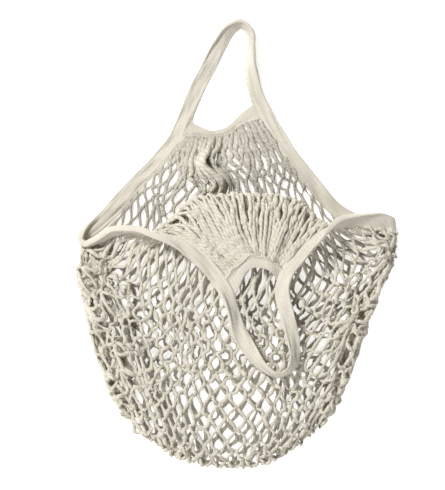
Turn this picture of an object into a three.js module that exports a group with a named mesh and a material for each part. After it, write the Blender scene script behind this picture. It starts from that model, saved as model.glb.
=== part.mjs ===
// A string shopping bag of cotton net, lying on its back on a flat surface, in millimetres, +Z up.
// +Y runs from the bottom of the bag to its back handle, and +X from its left side to its right.
// The origin is on the surface, under the middle of the bag's box.
//
// The net is one panel, folded at the bottom of the bag and seamed up its two sides. Its front top edge is
// turned over into a flap. One loop of knitted tape binds the mouth and makes both handles, and a short
// gather tape bridges the foot of each handle.
import * as THREE from 'three';

// Net panel, from a gather down to the bottom fold. The yarn net has two rows and two columns to a cell, and
// its solid is cut at twice that pitch. Stations run up a panel as far as its last row, and the tables use
// them.
const CELLS_ACROSS = 24;
const PANEL_ROWS = 24;
const SEAM_ROWS = 12;
const PITCH_FACTOR = 2;
const PANEL_STATIONS = 28;
const SEAM_STATIONS = (SEAM_ROWS / PANEL_ROWS) * PANEL_STATIONS;
const NET_THICKNESS = 2.6;
const STRAND_WIDTH = 4.2;
const SELVEDGE_WIDTH = 3;
const SELVEDGE_LENGTHS = 4;
const WIDEST_STRAND = 0.38;
const WIDEST_SELVEDGE = 0.3;
const GATHER_FIT_STATIONS = 4;
const DOME_FULL_STATION = 13;
const DOME_GONE_STATION = 18;

// Knitted tapes.
const LOOP_WIDTH = 19;
const LOOP_THICKNESS = 3;
const LOOP_SECTIONS = 120;
const GATHER_THICKNESS = 2.4;
const GATHER_STEPS = 12;
const BACK_GATHER_REACH = 22;
const FRONT_GATHER_REACH_LEFT = 25;
const FRONT_GATHER_REACH_RIGHT = 17;
const EDGE_BEVEL = 1.2;
const GATHER_GAP = 0.8;
const GATHER_END_GAP = 1.5;
const BINDING_GAP = 3.2;

// Cotton, as it looks in daylight.
const COTTON_NET = { color: 0xe6dfcd, roughness: 0.92, metalness: 0 };
const COTTON_TAPE = { color: 0xe9e2d1, roughness: 0.88, metalness: 0 };

// The loop of tape, from the left corner of the mouth up over the back handle, down to the right corner and
// back over the front handle. x, y and z are on its middle line, and nx, ny and nz point across it, to the
// edge that the net is sewn to and that faces the inside of each handle.
const LOOP_NAMES = ['mark', 'x', 'y', 'z', 'nx', 'ny', 'nz'];
const LOOP_TABLE = [
  ['cornerLeft', -193, 5.6, 11.4, 0.3, -0.2, -0.93],
  ['', -187.5, 14.8, 7.4, 0.6, -0.5, -0.6],
  ['', -180, 21.2, 4.6, 0.72, -0.62, -0.3],
  ['', -168, 30.5, 1.5, 0.76, -0.65, 0],
  ['', -131.5, 71.5, 1.5, 0.76, -0.65, 0],
  ['', -99.5, 103, 1.5, 0.76, -0.65, 0],
  ['backGatherLeft', -74.5, 136.5, 1.5, 0.82, -0.57, 0],
  ['', -66, 154, 2.4, 0.9, -0.42, 0],
  ['', -56, 180, 4.2, 0.9, -0.4, -0.15],
  ['', -38.5, 216, 6.6, 0.82, -0.4, -0.42],
  ['', -22, 247.5, 8.2, 0.7, -0.46, -0.56],
  ['', -7.5, 268.5, 9.4, 0.46, -0.62, -0.64],
  ['', 4.5, 274.5, 10, 0.02, -0.6, -0.8],
  ['', 14.5, 266.5, 10, -0.4, -0.25, -0.88],
  ['', 17.5, 246, 9.8, -0.36, 0, -0.93],
  ['', 16.5, 224.5, 8.6, -0.62, 0, -0.78],
  ['', 19.5, 203.5, 4.6, -0.95, -0.1, -0.3],
  ['', 26.5, 180, 1.8, -0.92, -0.38, 0],
  ['backGatherRight', 37, 158.5, 1.5, -0.85, -0.5, 0],
  ['', 53, 132.5, 1.5, -0.82, -0.57, 0],
  ['', 80.5, 93, 1.5, -0.8, -0.6, 0],
  ['', 109, 58.5, 1.5, -0.75, -0.66, 0],
  ['', 133.5, 36, 1.5, -0.6, -0.8, 0],
  ['', 162, 23.5, 1.8, -0.3, -0.95, 0],
  ['', 184, 20.5, 3, -0.06, -0.99, -0.05],
  ['', 192.5, 20.6, 6, 0.16, -0.98, -0.1],
  ['cornerRight', 195.5, 21.8, 11, 0.3, -0.92, -0.18],
  ['', 193, 25, 16, 0.3, -0.93, -0.22],
  ['', 184, 29, 20, 0.05, -0.97, -0.25],
  ['', 164.5, 30.5, 25.5, 0.05, -0.95, -0.3],
  ['', 141, 29.5, 31, 0.08, -0.8, -0.6],
  ['', 123.5, 26.5, 35.5, 0, -0.42, -0.9],
  ['', 112.5, 20.5, 38.5, -0.12, 0, -0.99],
  ['', 101, 11, 40.5, -0.42, 0.42, -0.8],
  ['', 89, 0, 42, -0.6, 0.45, -0.66],
  ['', 76.5, -15, 43, -0.76, 0.42, -0.5],
  ['frontGatherRight', 63.5, -31, 43.4, -0.84, 0.3, -0.45],
  ['', 56.5, -51, 43.6, -0.88, 0.18, -0.42],
  ['', 62.5, -89.5, 44.2, -0.95, 0.25, 0],
  ['', 69.5, -121.5, 47, -0.8, 0.1, 0.6],
  ['', 70.5, -141.5, 48.5, -0.5, 0.25, 0.83],
  ['', 62.5, -155, 49, -0.15, 0.25, 0.96],
  ['', 50, -160, 49, 0.1, 0.25, 0.96],
  ['', 34.5, -151.5, 49, 0.4, 0.28, 0.86],
  ['', 16.5, -130.5, 48.5, 0.75, 0.45, 0.4],
  ['', 1.5, -105.5, 48, 0.85, 0.3, -0.2],
  ['', -5, -80.5, 47.5, 0.74, 0.2, -0.6],
  ['', -13, -59.5, 45, 0.84, 0.4, -0.3],
  ['frontGatherLeft', -23, -43, 42.8, 0.83, 0.55, 0],
  ['', -37.5, -25.5, 42.5, 0.78, 0.62, -0.08],
  ['', -53, -11, 42.3, 0.72, 0.67, -0.15],
  ['', -68, 0.5, 42, 0.63, 0.67, -0.38],
  ['', -86, 8.5, 40.5, 0.36, 0.36, -0.86],
  ['', -106, 13, 37.2, 0.1, -0.08, -0.99],
  ['', -125, 17, 32, 0, -0.38, -0.92],
  ['', -140, 17, 27.5, 0, -0.48, -0.88],
  ['', -155, 15, 23.5, 0.03, -0.46, -0.89],
  ['', -168, 7.8, 20.5, 0.08, -0.42, -0.9],
  ['', -178.5, 4, 18.2, 0.1, -0.36, -0.92],
  ['', -187.5, 2, 15.4, 0.15, -0.25, -0.95],
];

// The side seams, by stations up from the bottom fold. Both panels meet there at height z.
const SEAM_NAMES = ['station', 'leftX', 'leftY', 'rightX', 'rightY', 'z'];
const SEAM_TABLE = [
  [0, -145.5, -198.5, 116.5, -202, 8],
  [2.6, -165, -157.5, 134.5, -165, 8],
  [5.2, -179.5, -115.5, 150.5, -126.5, 8],
  [7.9, -190, -73, 164.5, -87, 8],
  [10.6, -198, -34.5, 178.5, -51, 7],
  [12.4, -198, -16, 189.5, -21, 5],
];

// How the cells are shared out across the net: more of them crowd at its left.
const CROWD_NAMES = ['cells', 'share'];
const CROWD_TABLE = [
  [0, 0],
  [3.5, 0.1],
  [7.5, 0.25],
  [14, 0.5],
  [19, 0.75],
  [22, 0.9],
  [24, 1],
];

// The net at a quarter, a half and three quarters of the way across, with heights above the surface.
// Stations below 0 are the back panel, 0 is the bottom fold, and the flap turns over near 23.
const GUIDE_NAMES = [
  'station', 'leftX', 'leftY', 'leftZ', 'midX', 'midY', 'midZ', 'rightX', 'rightY', 'rightZ',
];
const GUIDE_TABLE = [
  [-28, -45, 131, 1.3, -24, 132, 1.3, 2, 145, 1.3],
  [-26, -53.5, 93, 1.3, -19, 99, 1.3, 17, 109, 1.3],
  [-24, -62, 62, 1.3, -17.5, 68, 1.3, 26, 75.5, 1.3],
  [-20, -77, 6, 1.3, -12.5, 6, 1.3, 47, 11, 1.3],
  [-16, -89.5, -49.5, 1.3, -6.5, -56, 1.3, 68, -47, 1.3],
  [-12, -98, -103, 1.3, -1.5, -115.5, 1.3, 81.5, -100.5, 1.3],
  [-8, -99.5, -155, 1.3, 3.5, -172.5, 1.3, 89, -152.5, 1.3],
  [-4, -93, -207, 1.3, 8.5, -227, 1.3, 90.5, -202, 1.3],
  [-1.5, -86, -242, 1.6, 11, -261.5, 1.6, 81.5, -234.5, 1.6],
  [0, -83.5, -256.5, 9, 11, -275.5, 9, 76.5, -245.5, 9],
  [1.5, -86, -243, 20, 12, -261.5, 20, 79, -233, 20],
  [4, -93, -208.5, 28, 17, -227, 29, 85.5, -201, 28],
  [8, -99.5, -150, 33, 16, -168.5, 35.5, 93, -147.5, 33],
  [12, -100.5, -94, 32, 11, -110.5, 37, 96.5, -94, 32],
  [16, -95.5, -37, 27, 4.5, -51, 35, 94, -41, 28],
  [20, -76, 22.5, 22, 1, 11, 30, 81.5, 20, 24],
  [21.5, -63.5, 46, 25, 2, 41, 30, 76.5, 43.5, 27],
  [22.5, -56, 56, 31, 3.5, 57, 32.5, 71.5, 57, 33],
  [23.5, -47.5, 51, 37.5, 6, 63, 38.5, 66.5, 51, 39],
  [24.5, -37.5, 34.5, 41, 8.5, 51, 43, 60.5, 34.5, 42.5],
  [26, -21.5, 6, 44, 12, 23.5, 45.5, 52, 12.5, 45],
  [28, 1, -22, 44, 22, -13.5, 45, 40.5, -21, 44.5],
];

// The gather tapes between their two ends: the edge sewn to the net, and the edge that faces the handle.
const GATHER_NAMES = ['netX', 'netY', 'netZ', 'freeX', 'freeY', 'freeZ'];
const BACK_GATHER_TABLE = [
  [-50, 134, 1.2, -46, 147.5, 1.2],
  [-33.5, 132, 1.2, -31, 142.5, 1.2],
  [-13, 136, 1.2, -12.5, 147.5, 1.2],
  [7, 149, 1.2, 4, 163, 1.2],
];
const FRONT_GATHER_TABLE = [
  [2.5, -22.5, 45.8, 10, -36, 45.4],
  [15.5, -13, 46.2, 20.5, -28.5, 45.8],
  [29, -14.5, 46.2, 31.5, -29, 45.8],
  [42.5, -19.5, 46, 42, -34, 45.4],
];

// Tables and curves.
const named = (names, rows) => rows.map((row) => Object.fromEntries(names.map((name, i) => [name, row[i]])));
const vector = (values) => new THREE.Vector3(...values);
const clamp = THREE.MathUtils.clamp;

// A smooth curve through values at rising knots, each value an array of numbers.
function smoothCurve(knots, values) {
  const last = knots.length - 1;
  const slope = (i) => values[i].map((value, k) => (values[i + 1][k] - value) / (knots[i + 1] - knots[i]));
  const tangents = values.map((_, i) => {
    if (i === 0) return slope(0);
    if (i === last) return slope(last - 1);
    const before = knots[i] - knots[i - 1];
    const after = knots[i + 1] - knots[i];
    const next = slope(i);
    return slope(i - 1).map((value, k) => (after * value + before * next[k]) / (before + after));
  });
  return (t) => {
    let i = 0;
    while (i < last - 1 && t >= knots[i + 1]) i += 1;
    const span = knots[i + 1] - knots[i];
    const f = (t - knots[i]) / span;
    const ease = f * f * (3 - 2 * f);
    const leave = f * (1 - f) * (1 - f) * span;
    const arrive = f * f * (f - 1) * span;
    return values[i].map((value, k) => value * (1 - ease) + values[i + 1][k] * ease
      + tangents[i][k] * leave + tangents[i + 1][k] * arrive);
  };
}

// The closed loop of tape: its length, the places of its marks, and its frame at any length along it.
function makeLoop() {
  const rows = named(LOOP_NAMES, LOOP_TABLE);
  const overlap = 3;
  const wrapped = [...rows.slice(-overlap), ...rows, ...rows.slice(0, overlap + 1)];
  const centres = wrapped.map((row) => [row.x, row.y, row.z]);
  const knots = [0];
  for (let i = 1; i < centres.length; i += 1) {
    knots.push(knots[i - 1] + vector(centres[i]).distanceTo(vector(centres[i - 1])));
  }
  const start = knots[overlap];
  const places = knots.map((knot) => knot - start);
  const length = places[overlap + rows.length];
  const centre = smoothCurve(places, centres);
  const across = smoothCurve(places, wrapped.map((row) => [row.nx, row.ny, row.nz]));
  const marks = Object.fromEntries(rows.map((row, i) => [row.mark, places[overlap + i]]));
  const frame = (place) => {
    const t = ((place % length) + length) % length;
    const along = vector(centre(t + 0.5)).sub(vector(centre(t - 0.5))).normalize();
    const side = vector(across(t));
    side.addScaledVector(along, -side.dot(along)).normalize();
    return { centre: vector(centre(t)), across: side, face: along.clone().cross(side) };
  };
  const netEdge = (place, gap) => {
    const { centre: middle, across: side } = frame(place);
    return middle.addScaledVector(side, LOOP_WIDTH / 2 + gap);
  };
  return { length, marks, frame, netEdge };
}

// A flat band with bevelled edges through sections, each a centre, a half width and its two directions.
function bandGeometry(sections, thickness, closed) {
  const outline = (half) => [
    [half, 0], [half - EDGE_BEVEL, thickness / 2], [EDGE_BEVEL - half, thickness / 2],
    [-half, 0], [EDGE_BEVEL - half, -thickness / 2], [half - EDGE_BEVEL, -thickness / 2],
  ];
  const positions = [];
  for (const { centre, across, face, half } of sections) {
    for (const [wide, deep] of outline(half)) {
      const point = centre.clone().addScaledVector(across, wide).addScaledVector(face, deep);
      positions.push(point.x, point.y, Math.max(point.z, 0));
    }
  }
  const sides = outline(1).length;
  const count = sections.length;
  const index = [];
  for (let i = 0; i < (closed ? count : count - 1); i += 1) {
    const next = (i + 1) % count;
    for (let k = 0; k < sides; k += 1) {
      const turn = (k + 1) % sides;
      const [a, b, c, d] = [i * sides + k, i * sides + turn, next * sides + turn, next * sides + k];
      index.push(a, b, c, a, c, d);
    }
  }
  if (!closed) {
    const end = (count - 1) * sides;
    for (let k = 1; k < sides - 1; k += 1) {
      index.push(0, k + 1, k);
      index.push(end, end + k, end + k + 1);
    }
  }
  const geometry = new THREE.BufferGeometry();
  geometry.setAttribute('position', new THREE.Float32BufferAttribute(positions, 3));
  geometry.setIndex(index);
  return geometry;
}

// The two long edges of a gather tape, from its left end on the loop to its right end.
function makeGather(loop, table, leftEnd, rightEnd) {
  const rows = named(GATHER_NAMES, table);
  const knots = [0, ...rows.map((_, i) => (i + 1) / (rows.length + 1)), 1];
  const edge = (place) => loop.netEdge(place, GATHER_END_GAP).toArray();
  const net = smoothCurve(knots, [
    edge(leftEnd.net), ...rows.map((row) => [row.netX, row.netY, row.netZ]), edge(rightEnd.net)]);
  const free = smoothCurve(knots, [
    edge(leftEnd.free), ...rows.map((row) => [row.freeX, row.freeY, row.freeZ]), edge(rightEnd.free)]);
  const section = (f) => {
    const step = 0.01;
    const netSide = vector(net(f));
    const freeSide = vector(free(f));
    const across = netSide.clone().sub(freeSide);
    const half = across.length() / 2;
    across.normalize();
    const along = vector(net(Math.min(f + step, 1))).sub(vector(net(Math.max(f - step, 0))));
    const face = along.cross(across).normalize();
    return { centre: netSide.add(freeSide).multiplyScalar(0.5), across, face, half };
  };
  const netEdge = (f) => {
    const { centre, across, half } = section(f);
    return centre.addScaledVector(across, half + GATHER_GAP);
  };
  return { section, netEdge };
}

// The net's middle surface, as a function of the share of the way across and the station.
function makeNetSurface(loop, backGather, frontGather) {
  const seams = named(SEAM_NAMES, SEAM_TABLE);
  const guides = named(GUIDE_NAMES, GUIDE_TABLE);
  const { marks, length } = loop;
  const seamKnots = [...seams.map((row) => row.station), SEAM_STATIONS];
  const guideKnots = guides.map((row) => row.station);
  const shares = [0, 0.25, 0.5, 0.75, 1];
  const domeShare = (share) => Math.acos(clamp(1 - 2 * share, -1, 1)) / Math.PI;
  const unit = shares.map((_, i) => shares.map((__, k) => (i === k ? 1 : 0)));
  const flatWeights = smoothCurve(shares, unit);
  const domeWeights = smoothCurve(shares.map(domeShare), unit);

  const sideEdge = (seamPoints, corner, backEnd, frontEnd) => {
    const bound = (place) => loop.netEdge(place, BINDING_GAP).toArray();
    const seam = smoothCurve(seamKnots, [...seamPoints, bound(corner)]);
    return (station) => {
      const up = Math.abs(station);
      if (up <= SEAM_STATIONS) return seam(up);
      const along = (up - SEAM_STATIONS) / (PANEL_STATIONS - SEAM_STATIONS);
      const end = station > 0 ? frontEnd : backEnd;
      return bound(corner + along * (end - corner));
    };
  };
  const columns = [
    sideEdge(seams.map((row) => [row.leftX, row.leftY, row.z]), marks.cornerLeft,
      marks.backGatherLeft, marks.frontGatherLeft - length),
    smoothCurve(guideKnots, guides.map((row) => [row.leftX, row.leftY, row.leftZ])),
    smoothCurve(guideKnots, guides.map((row) => [row.midX, row.midY, row.midZ])),
    smoothCurve(guideKnots, guides.map((row) => [row.rightX, row.rightY, row.rightZ])),
    sideEdge(seams.map((row) => [row.rightX, row.rightY, row.z]), marks.cornerRight,
      marks.backGatherRight, marks.frontGatherRight),
  ];

  const loose = (share, station) => {
    const points = columns.map((column) => column(station));
    const flat = flatWeights(share);
    const dome = domeWeights(domeShare(share));
    const sum = (weights, k) => points.reduce((total, point, i) => total + weights[i] * point[k], 0);
    const domed = clamp((DOME_GONE_STATION - station) / (DOME_GONE_STATION - DOME_FULL_STATION), 0, 1);
    const height = domed * sum(dome, 2) + (1 - domed) * sum(flat, 2);
    return new THREE.Vector3(sum(flat, 0), sum(flat, 1), Math.max(height, NET_THICKNESS / 2));
  };
  // Near a gather the net is drawn to its sewn edge.
  return (share, station) => {
    const point = loose(share, station);
    const drawn = (Math.abs(station) - PANEL_STATIONS + GATHER_FIT_STATIONS) / GATHER_FIT_STATIONS;
    if (drawn <= 0) return point;
    const gather = station > 0 ? frontGather : backGather;
    const miss = gather.netEdge(share).sub(loose(share, Math.sign(station) * PANEL_STATIONS));
    return point.addScaledVector(miss, drawn * drawn);
  };
}

// The net as one solid: a lattice of crossing strands on the surface, with a selvedge along its bound edges.
// A lattice place is a column and a row, and strands join the places whose column and row add up to an even
// number.
function netGeometry(surface) {
  const columns = (2 * CELLS_ACROSS) / PITCH_FACTOR;
  const top = PANEL_ROWS / PITCH_FACTOR;
  const seamTop = SEAM_ROWS / PITCH_FACTOR;
  const inset = 0.15;
  const crowd = named(CROWD_NAMES, CROWD_TABLE);
  const crowded = smoothCurve(crowd.map((row) => row.cells), crowd.map((row) => [row.share]));
  const share = (column) => clamp(crowded((column * CELLS_ACROSS) / columns)[0], 0, 1);
  const at = (column, row) => surface(share(column), (row * PANEL_STATIONS) / top);

  // The two directions of the lattice on the surface, from places just inside its side edges.
  const directions = (column, row) => {
    const step = 0.05;
    const c = clamp(column, inset, columns - inset);
    const r = clamp(row, step - top, top - step);
    const over = at(c + step, r).sub(at(c - step, r)).divideScalar(2 * step);
    const up = at(c, r + step).sub(at(c, r - step)).divideScalar(2 * step);
    return { over, up };
  };
  const normal = (column, row) => {
    const { over, up } = directions(column, row);
    return over.cross(up).normalize();
  };
  const onSeam = (column, row) => (column === 0 || column === columns) && Math.abs(row) <= seamTop;

  // Each lattice vertex is kept once, and a seam vertex is shared by the two panels.
  const vertices = new Map();
  const outer = [];
  const inner = [];
  const vertex = ([column, row]) => {
    const shared = onSeam(column, row) ? Math.abs(row) : row;
    const key = [column, shared].map((value) => Math.round(value * 1e4)).join(' ');
    if (!vertices.has(key)) {
      const out = normal(column, shared);
      if (onSeam(column, row)) out.add(normal(column, -shared)).normalize();
      const middle = at(column, shared);
      for (const [list, side] of [[outer, 1], [inner, -1]]) {
        const point = middle.clone().addScaledVector(out, (side * NET_THICKNESS) / 2);
        point.z = Math.max(point.z, 0);
        list.push(point);
      }
      vertices.set(key, outer.length - 1);
    }
    return vertices.get(key);
  };

  // The four corners of a crossing, between its strands. They move in from a bound edge by the selvedge.
  const corners = (column, row) => {
    const { over, up } = directions(column, row);
    const area = over.clone().cross(up).length();
    const diagonal = (over.clone().add(up).length() + over.clone().sub(up).length()) / 2;
    const half = Math.min((STRAND_WIDTH * diagonal) / (2 * area), WIDEST_STRAND);
    const bound = (size) => Math.min(SELVEDGE_WIDTH / size, WIDEST_SELVEDGE);
    const side = column === 0 ? 1 : column === columns ? -1 : 0;
    const end = row === top ? -1 : row === -top ? 1 : 0;
    const above = side && (row >= seamTop || row < -seamTop) ? bound(over.length()) : 0;
    const below = side && (row > seamTop || row <= -seamTop) ? bound(over.length()) : 0;
    const beside = Math.max(above, below);
    const lip = end ? bound(up.length()) : 0;
    const places = {
      south: end === 1 ? null : [column + side * below, row - half - below - lip],
      east: side === -1 ? null : [column + half + beside + lip, row + end * lip],
      north: end === -1 ? null : [column + side * above, row + half + above + lip],
      west: side === 1 ? null : [column - half - beside - lip, row + end * lip],
    };
    return { ...places, onEdge: end !== 0 || beside > 0 };
  };

  const polygons = [];
  const between = (a, b, f) => [a[0] + (b[0] - a[0]) * f, a[1] + (b[1] - a[1]) * f];
  const face = (...places) => {
    const polygon = places.map(vertex);
    if (new Set(polygon).size > 2) polygons.push(polygon);
  };
  const strand = (a, b, c, d, lengths = 2) => {
    for (let k = 0; k < lengths; k += 1) {
      const [f, g] = [k / lengths, (k + 1) / lengths];
      face(between(a, b, f), between(a, b, g), between(d, c, g), between(d, c, f));
    }
  };

  const crossings = new Map();
  const crossing = (column, row) => crossings.get(`${column} ${row}`);
  for (let row = -top; row <= top; row += 1) {
    for (let column = 0; column <= columns; column += 1) {
      if ((column + row) % 2 === 0) crossings.set(`${column} ${row}`, corners(column, row));
    }
  }
  for (const [key, node] of crossings) {
    const [column, row] = key.split(' ').map(Number);
    const rim = [];
    for (const place of [node.south, node.east, node.north, node.west]) {
      if (place) rim.push(place);
      else if (node.onEdge && !rim.includes(key)) rim.push(key);
    }
    face(...rim.map((place) => (place === key ? [column, row] : place)));
    const upper = crossing(column + 1, row + 1);
    const lower = crossing(column + 1, row - 1);
    if (upper) strand(node.east, upper.south, upper.west, node.north);
    if (lower) strand(node.south, lower.west, lower.north, node.east);
  }

  // The selvedge, between neighbouring crossings on the side edges and on the two gathered edges.
  for (let row = -top; row < top; row += 2) {
    if (row >= seamTop || row < -seamTop) {
      const [left, leftUp] = [crossing(0, row), crossing(0, row + 2)];
      const [right, rightUp] = [crossing(columns, row), crossing(columns, row + 2)];
      strand(left.north, leftUp.south, [0, row + 2], [0, row], SELVEDGE_LENGTHS);
      strand([columns, row], [columns, row + 2], rightUp.south, right.north, SELVEDGE_LENGTHS);
    }
  }
  for (let column = 0; column < columns; column += 2) {
    const [upLeft, upRight] = [crossing(column, top), crossing(column + 2, top)];
    const [downLeft, downRight] = [crossing(column, -top), crossing(column + 2, -top)];
    strand(upLeft.east, upRight.west, [column + 2, top], [column, top]);
    strand([column, -top], [column + 2, -top], downRight.west, downLeft.east);
  }

  // Outer and inner faces, and walls round every gap.
  const layer = outer.length;
  const index = [];
  const edges = new Set();
  for (const polygon of polygons) {
    for (let k = 1; k < polygon.length - 1; k += 1) {
      index.push(polygon[0], polygon[k], polygon[k + 1]);
      index.push(layer + polygon[0], layer + polygon[k + 1], layer + polygon[k]);
    }
    polygon.forEach((from, k) => edges.add(`${from} ${polygon[(k + 1) % polygon.length]}`));
  }
  for (const edge of edges) {
    const [from, to] = edge.split(' ').map(Number);
    if (!edges.has(`${to} ${from}`)) {
      index.push(layer + from, layer + to, to);
      index.push(layer + from, to, from);
    }
  }
  const geometry = new THREE.BufferGeometry();
  const positions = [...outer, ...inner].flatMap((point) => point.toArray());
  geometry.setAttribute('position', new THREE.Float32BufferAttribute(positions, 3));
  geometry.setIndex(index);
  return geometry;
}

function piece(name, geometry, finish) {
  geometry.computeVertexNormals();
  const mesh = new THREE.Mesh(geometry, new THREE.MeshStandardMaterial(finish));
  mesh.name = name;
  return mesh;
}

const loop = makeLoop();
const { marks } = loop;
const gatherEnd = (place, toHandle, reach) => ({ net: place + toHandle, free: place + toHandle * reach });
const backGather = makeGather(loop, BACK_GATHER_TABLE,
  gatherEnd(marks.backGatherLeft, 1, BACK_GATHER_REACH),
  gatherEnd(marks.backGatherRight, -1, BACK_GATHER_REACH));
const frontGather = makeGather(loop, FRONT_GATHER_TABLE,
  gatherEnd(marks.frontGatherLeft, -1, FRONT_GATHER_REACH_LEFT),
  gatherEnd(marks.frontGatherRight, 1, FRONT_GATHER_REACH_RIGHT));

const loopSections = Array.from({ length: LOOP_SECTIONS }, (_, i) => (
  { ...loop.frame((i * loop.length) / LOOP_SECTIONS), half: LOOP_WIDTH / 2 }));
const gatherSections = (gather) => Array.from({ length: GATHER_STEPS + 1 }, (_, i) => (
  gather.section(i / GATHER_STEPS)));

const bag = new THREE.Group();
bag.name = 'mesh_shopping_bag';
bag.add(
  piece('net_body', netGeometry(makeNetSurface(loop, backGather, frontGather)), COTTON_NET),
  piece('loop_tape', bandGeometry(loopSections, LOOP_THICKNESS, true), COTTON_TAPE),
  piece('back_gather_tape', bandGeometry(gatherSections(backGather), GATHER_THICKNESS, false), COTTON_TAPE),
  piece('front_gather_tape', bandGeometry(gatherSections(frontGather), GATHER_THICKNESS, false), COTTON_TAPE),
);

// The box of the whole bag stands on the surface, with the origin under its middle.
const box = new THREE.Box3().setFromObject(bag, true);
const middle = box.getCenter(new THREE.Vector3());
bag.children.forEach((mesh) => mesh.geometry.translate(-middle.x, -middle.y, -box.min.z));

export default bag;
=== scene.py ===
"""A string shopping bag of cotton net with a knitted tape binding, lying on its back on a pale floor.

The frame of the solids is used throughout: +X to the bag's right, +Y from its bottom to its back handle, and
+Z up. Tables and sizes are in millimetres, and meshes are in metres. The net is measured in two ways:

- Its form by shares and stations. A share is a part of the way across, from 0 at the left side to 1 at the
  right. A station is a place up a panel, from 0 at the bottom fold to 28 at a gather, and below zero on the
  back panel.
- Its yarns by columns and rows, which count cells across and up, with rows below zero on the back panel.
"""

from __future__ import annotations

import logging
import math
from dataclasses import dataclass, field
from enum import Enum
from typing import NamedTuple, Sequence

import bpy
import numpy as np
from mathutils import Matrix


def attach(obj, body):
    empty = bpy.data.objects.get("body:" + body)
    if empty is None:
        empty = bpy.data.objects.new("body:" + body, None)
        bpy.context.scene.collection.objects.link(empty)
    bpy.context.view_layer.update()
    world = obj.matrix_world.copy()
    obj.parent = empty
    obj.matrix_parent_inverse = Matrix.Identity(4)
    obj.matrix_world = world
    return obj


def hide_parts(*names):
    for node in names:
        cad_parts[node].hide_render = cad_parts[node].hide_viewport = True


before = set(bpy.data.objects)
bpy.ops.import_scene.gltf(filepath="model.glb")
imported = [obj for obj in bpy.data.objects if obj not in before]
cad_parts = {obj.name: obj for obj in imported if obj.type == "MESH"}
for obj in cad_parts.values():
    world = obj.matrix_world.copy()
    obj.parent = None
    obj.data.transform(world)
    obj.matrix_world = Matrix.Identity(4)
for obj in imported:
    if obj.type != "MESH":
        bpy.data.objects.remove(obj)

Array = np.ndarray
Colour = tuple[float, float, float]
Span = tuple[float, float]
Socket = bpy.types.NodeSocket

LOG = logging.getLogger("string_bag")
SEED = 20261
MM = 0.001
TURN = 2 * math.pi
TINY = 1e-9
UV_NAME = "cloth"

# The middle of the solids' box, in the frame of the tables. The solids' frame has its origin there.
BOX_MIDDLE = np.array([1.797, 0.882, 0.0])

# The photograph: its size in pixels, the millimetres in a pixel, and the pixel at the origin of the tables.
IMAGE_SIZE = (445, 490)
PHOTO_SCALE = 1.24
PHOTO_CENTRE = (237.2, 245.0)

# The tapes: their width, the length of a rib, and the places along a rib that a mesh has.
TAPE_WIDTH = 19.0
RIB_PITCH = 2.8
RIB_STEPS = 4


class Mark(Enum):
    """Places along the loop of tape that the net and the gather tapes are fitted to."""

    NONE = "none"
    CORNER_LEFT = "left corner of the mouth"
    BACK_GATHER_LEFT = "left end of the back gather"
    BACK_GATHER_RIGHT = "right end of the back gather"
    CORNER_RIGHT = "right corner of the mouth"
    FRONT_GATHER_RIGHT = "right end of the front gather"
    FRONT_GATHER_LEFT = "left end of the front gather"


class Run(Enum):
    """How the loop of tape runs at the left end of a gather: up into the handle, or down out of it."""

    UP = 1
    DOWN = -1


class Slot(Enum):
    """The record's material slots."""

    NET = "cotton_net"
    TAPE = "cotton_tape"


class Held(Enum):
    """How a piece of cloth is held."""

    LAID = "laid"
    FOLDED = "folded"
    GATHERED = "gathered"


class Seed(Enum):
    """The uses of random numbers. Each has its own, the same in every run."""

    UNEVEN_WIDE = 1
    UNEVEN_FINE = 2
    PLEATS = 3
    JOINTS = 4
    DRIFT = 5
    LUMPS = 6
    LOOP_WAVES = 7
    CLUSTERS = 8
    GATHER_WAVES = 9
    BOWS = 11
    CREASES = 13
    FURROWS = 15
    TWIST = 21
    BUNCH = 31

    def draw(self) -> np.random.Generator:
        """A fresh source of this use's numbers."""
        return np.random.default_rng(SEED + self.value)


class Station(NamedTuple):
    """A place on the loop of tape: its middle line, and the direction across it to the sewn edge."""

    x: float
    y: float
    z: float
    nx: float
    ny: float
    nz: float
    mark: Mark = Mark.NONE


class SeamRow(NamedTuple):
    """A place on the two side seams, by stations up from the bottom fold."""

    station: float
    left_x: float
    left_y: float
    right_x: float
    right_y: float
    z: float


class GuideRow(NamedTuple):
    """A station of the net at a quarter, a half and three quarters of the way across."""

    station: float
    left_x: float
    left_y: float
    left_z: float
    mid_x: float
    mid_y: float
    mid_z: float
    right_x: float
    right_y: float
    right_z: float


class GatherRow(NamedTuple):
    """A place on a gather tape: its edge sewn to the net, and its edge that faces the handle."""

    net_x: float
    net_y: float
    net_z: float
    free_x: float
    free_y: float
    free_z: float


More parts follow.
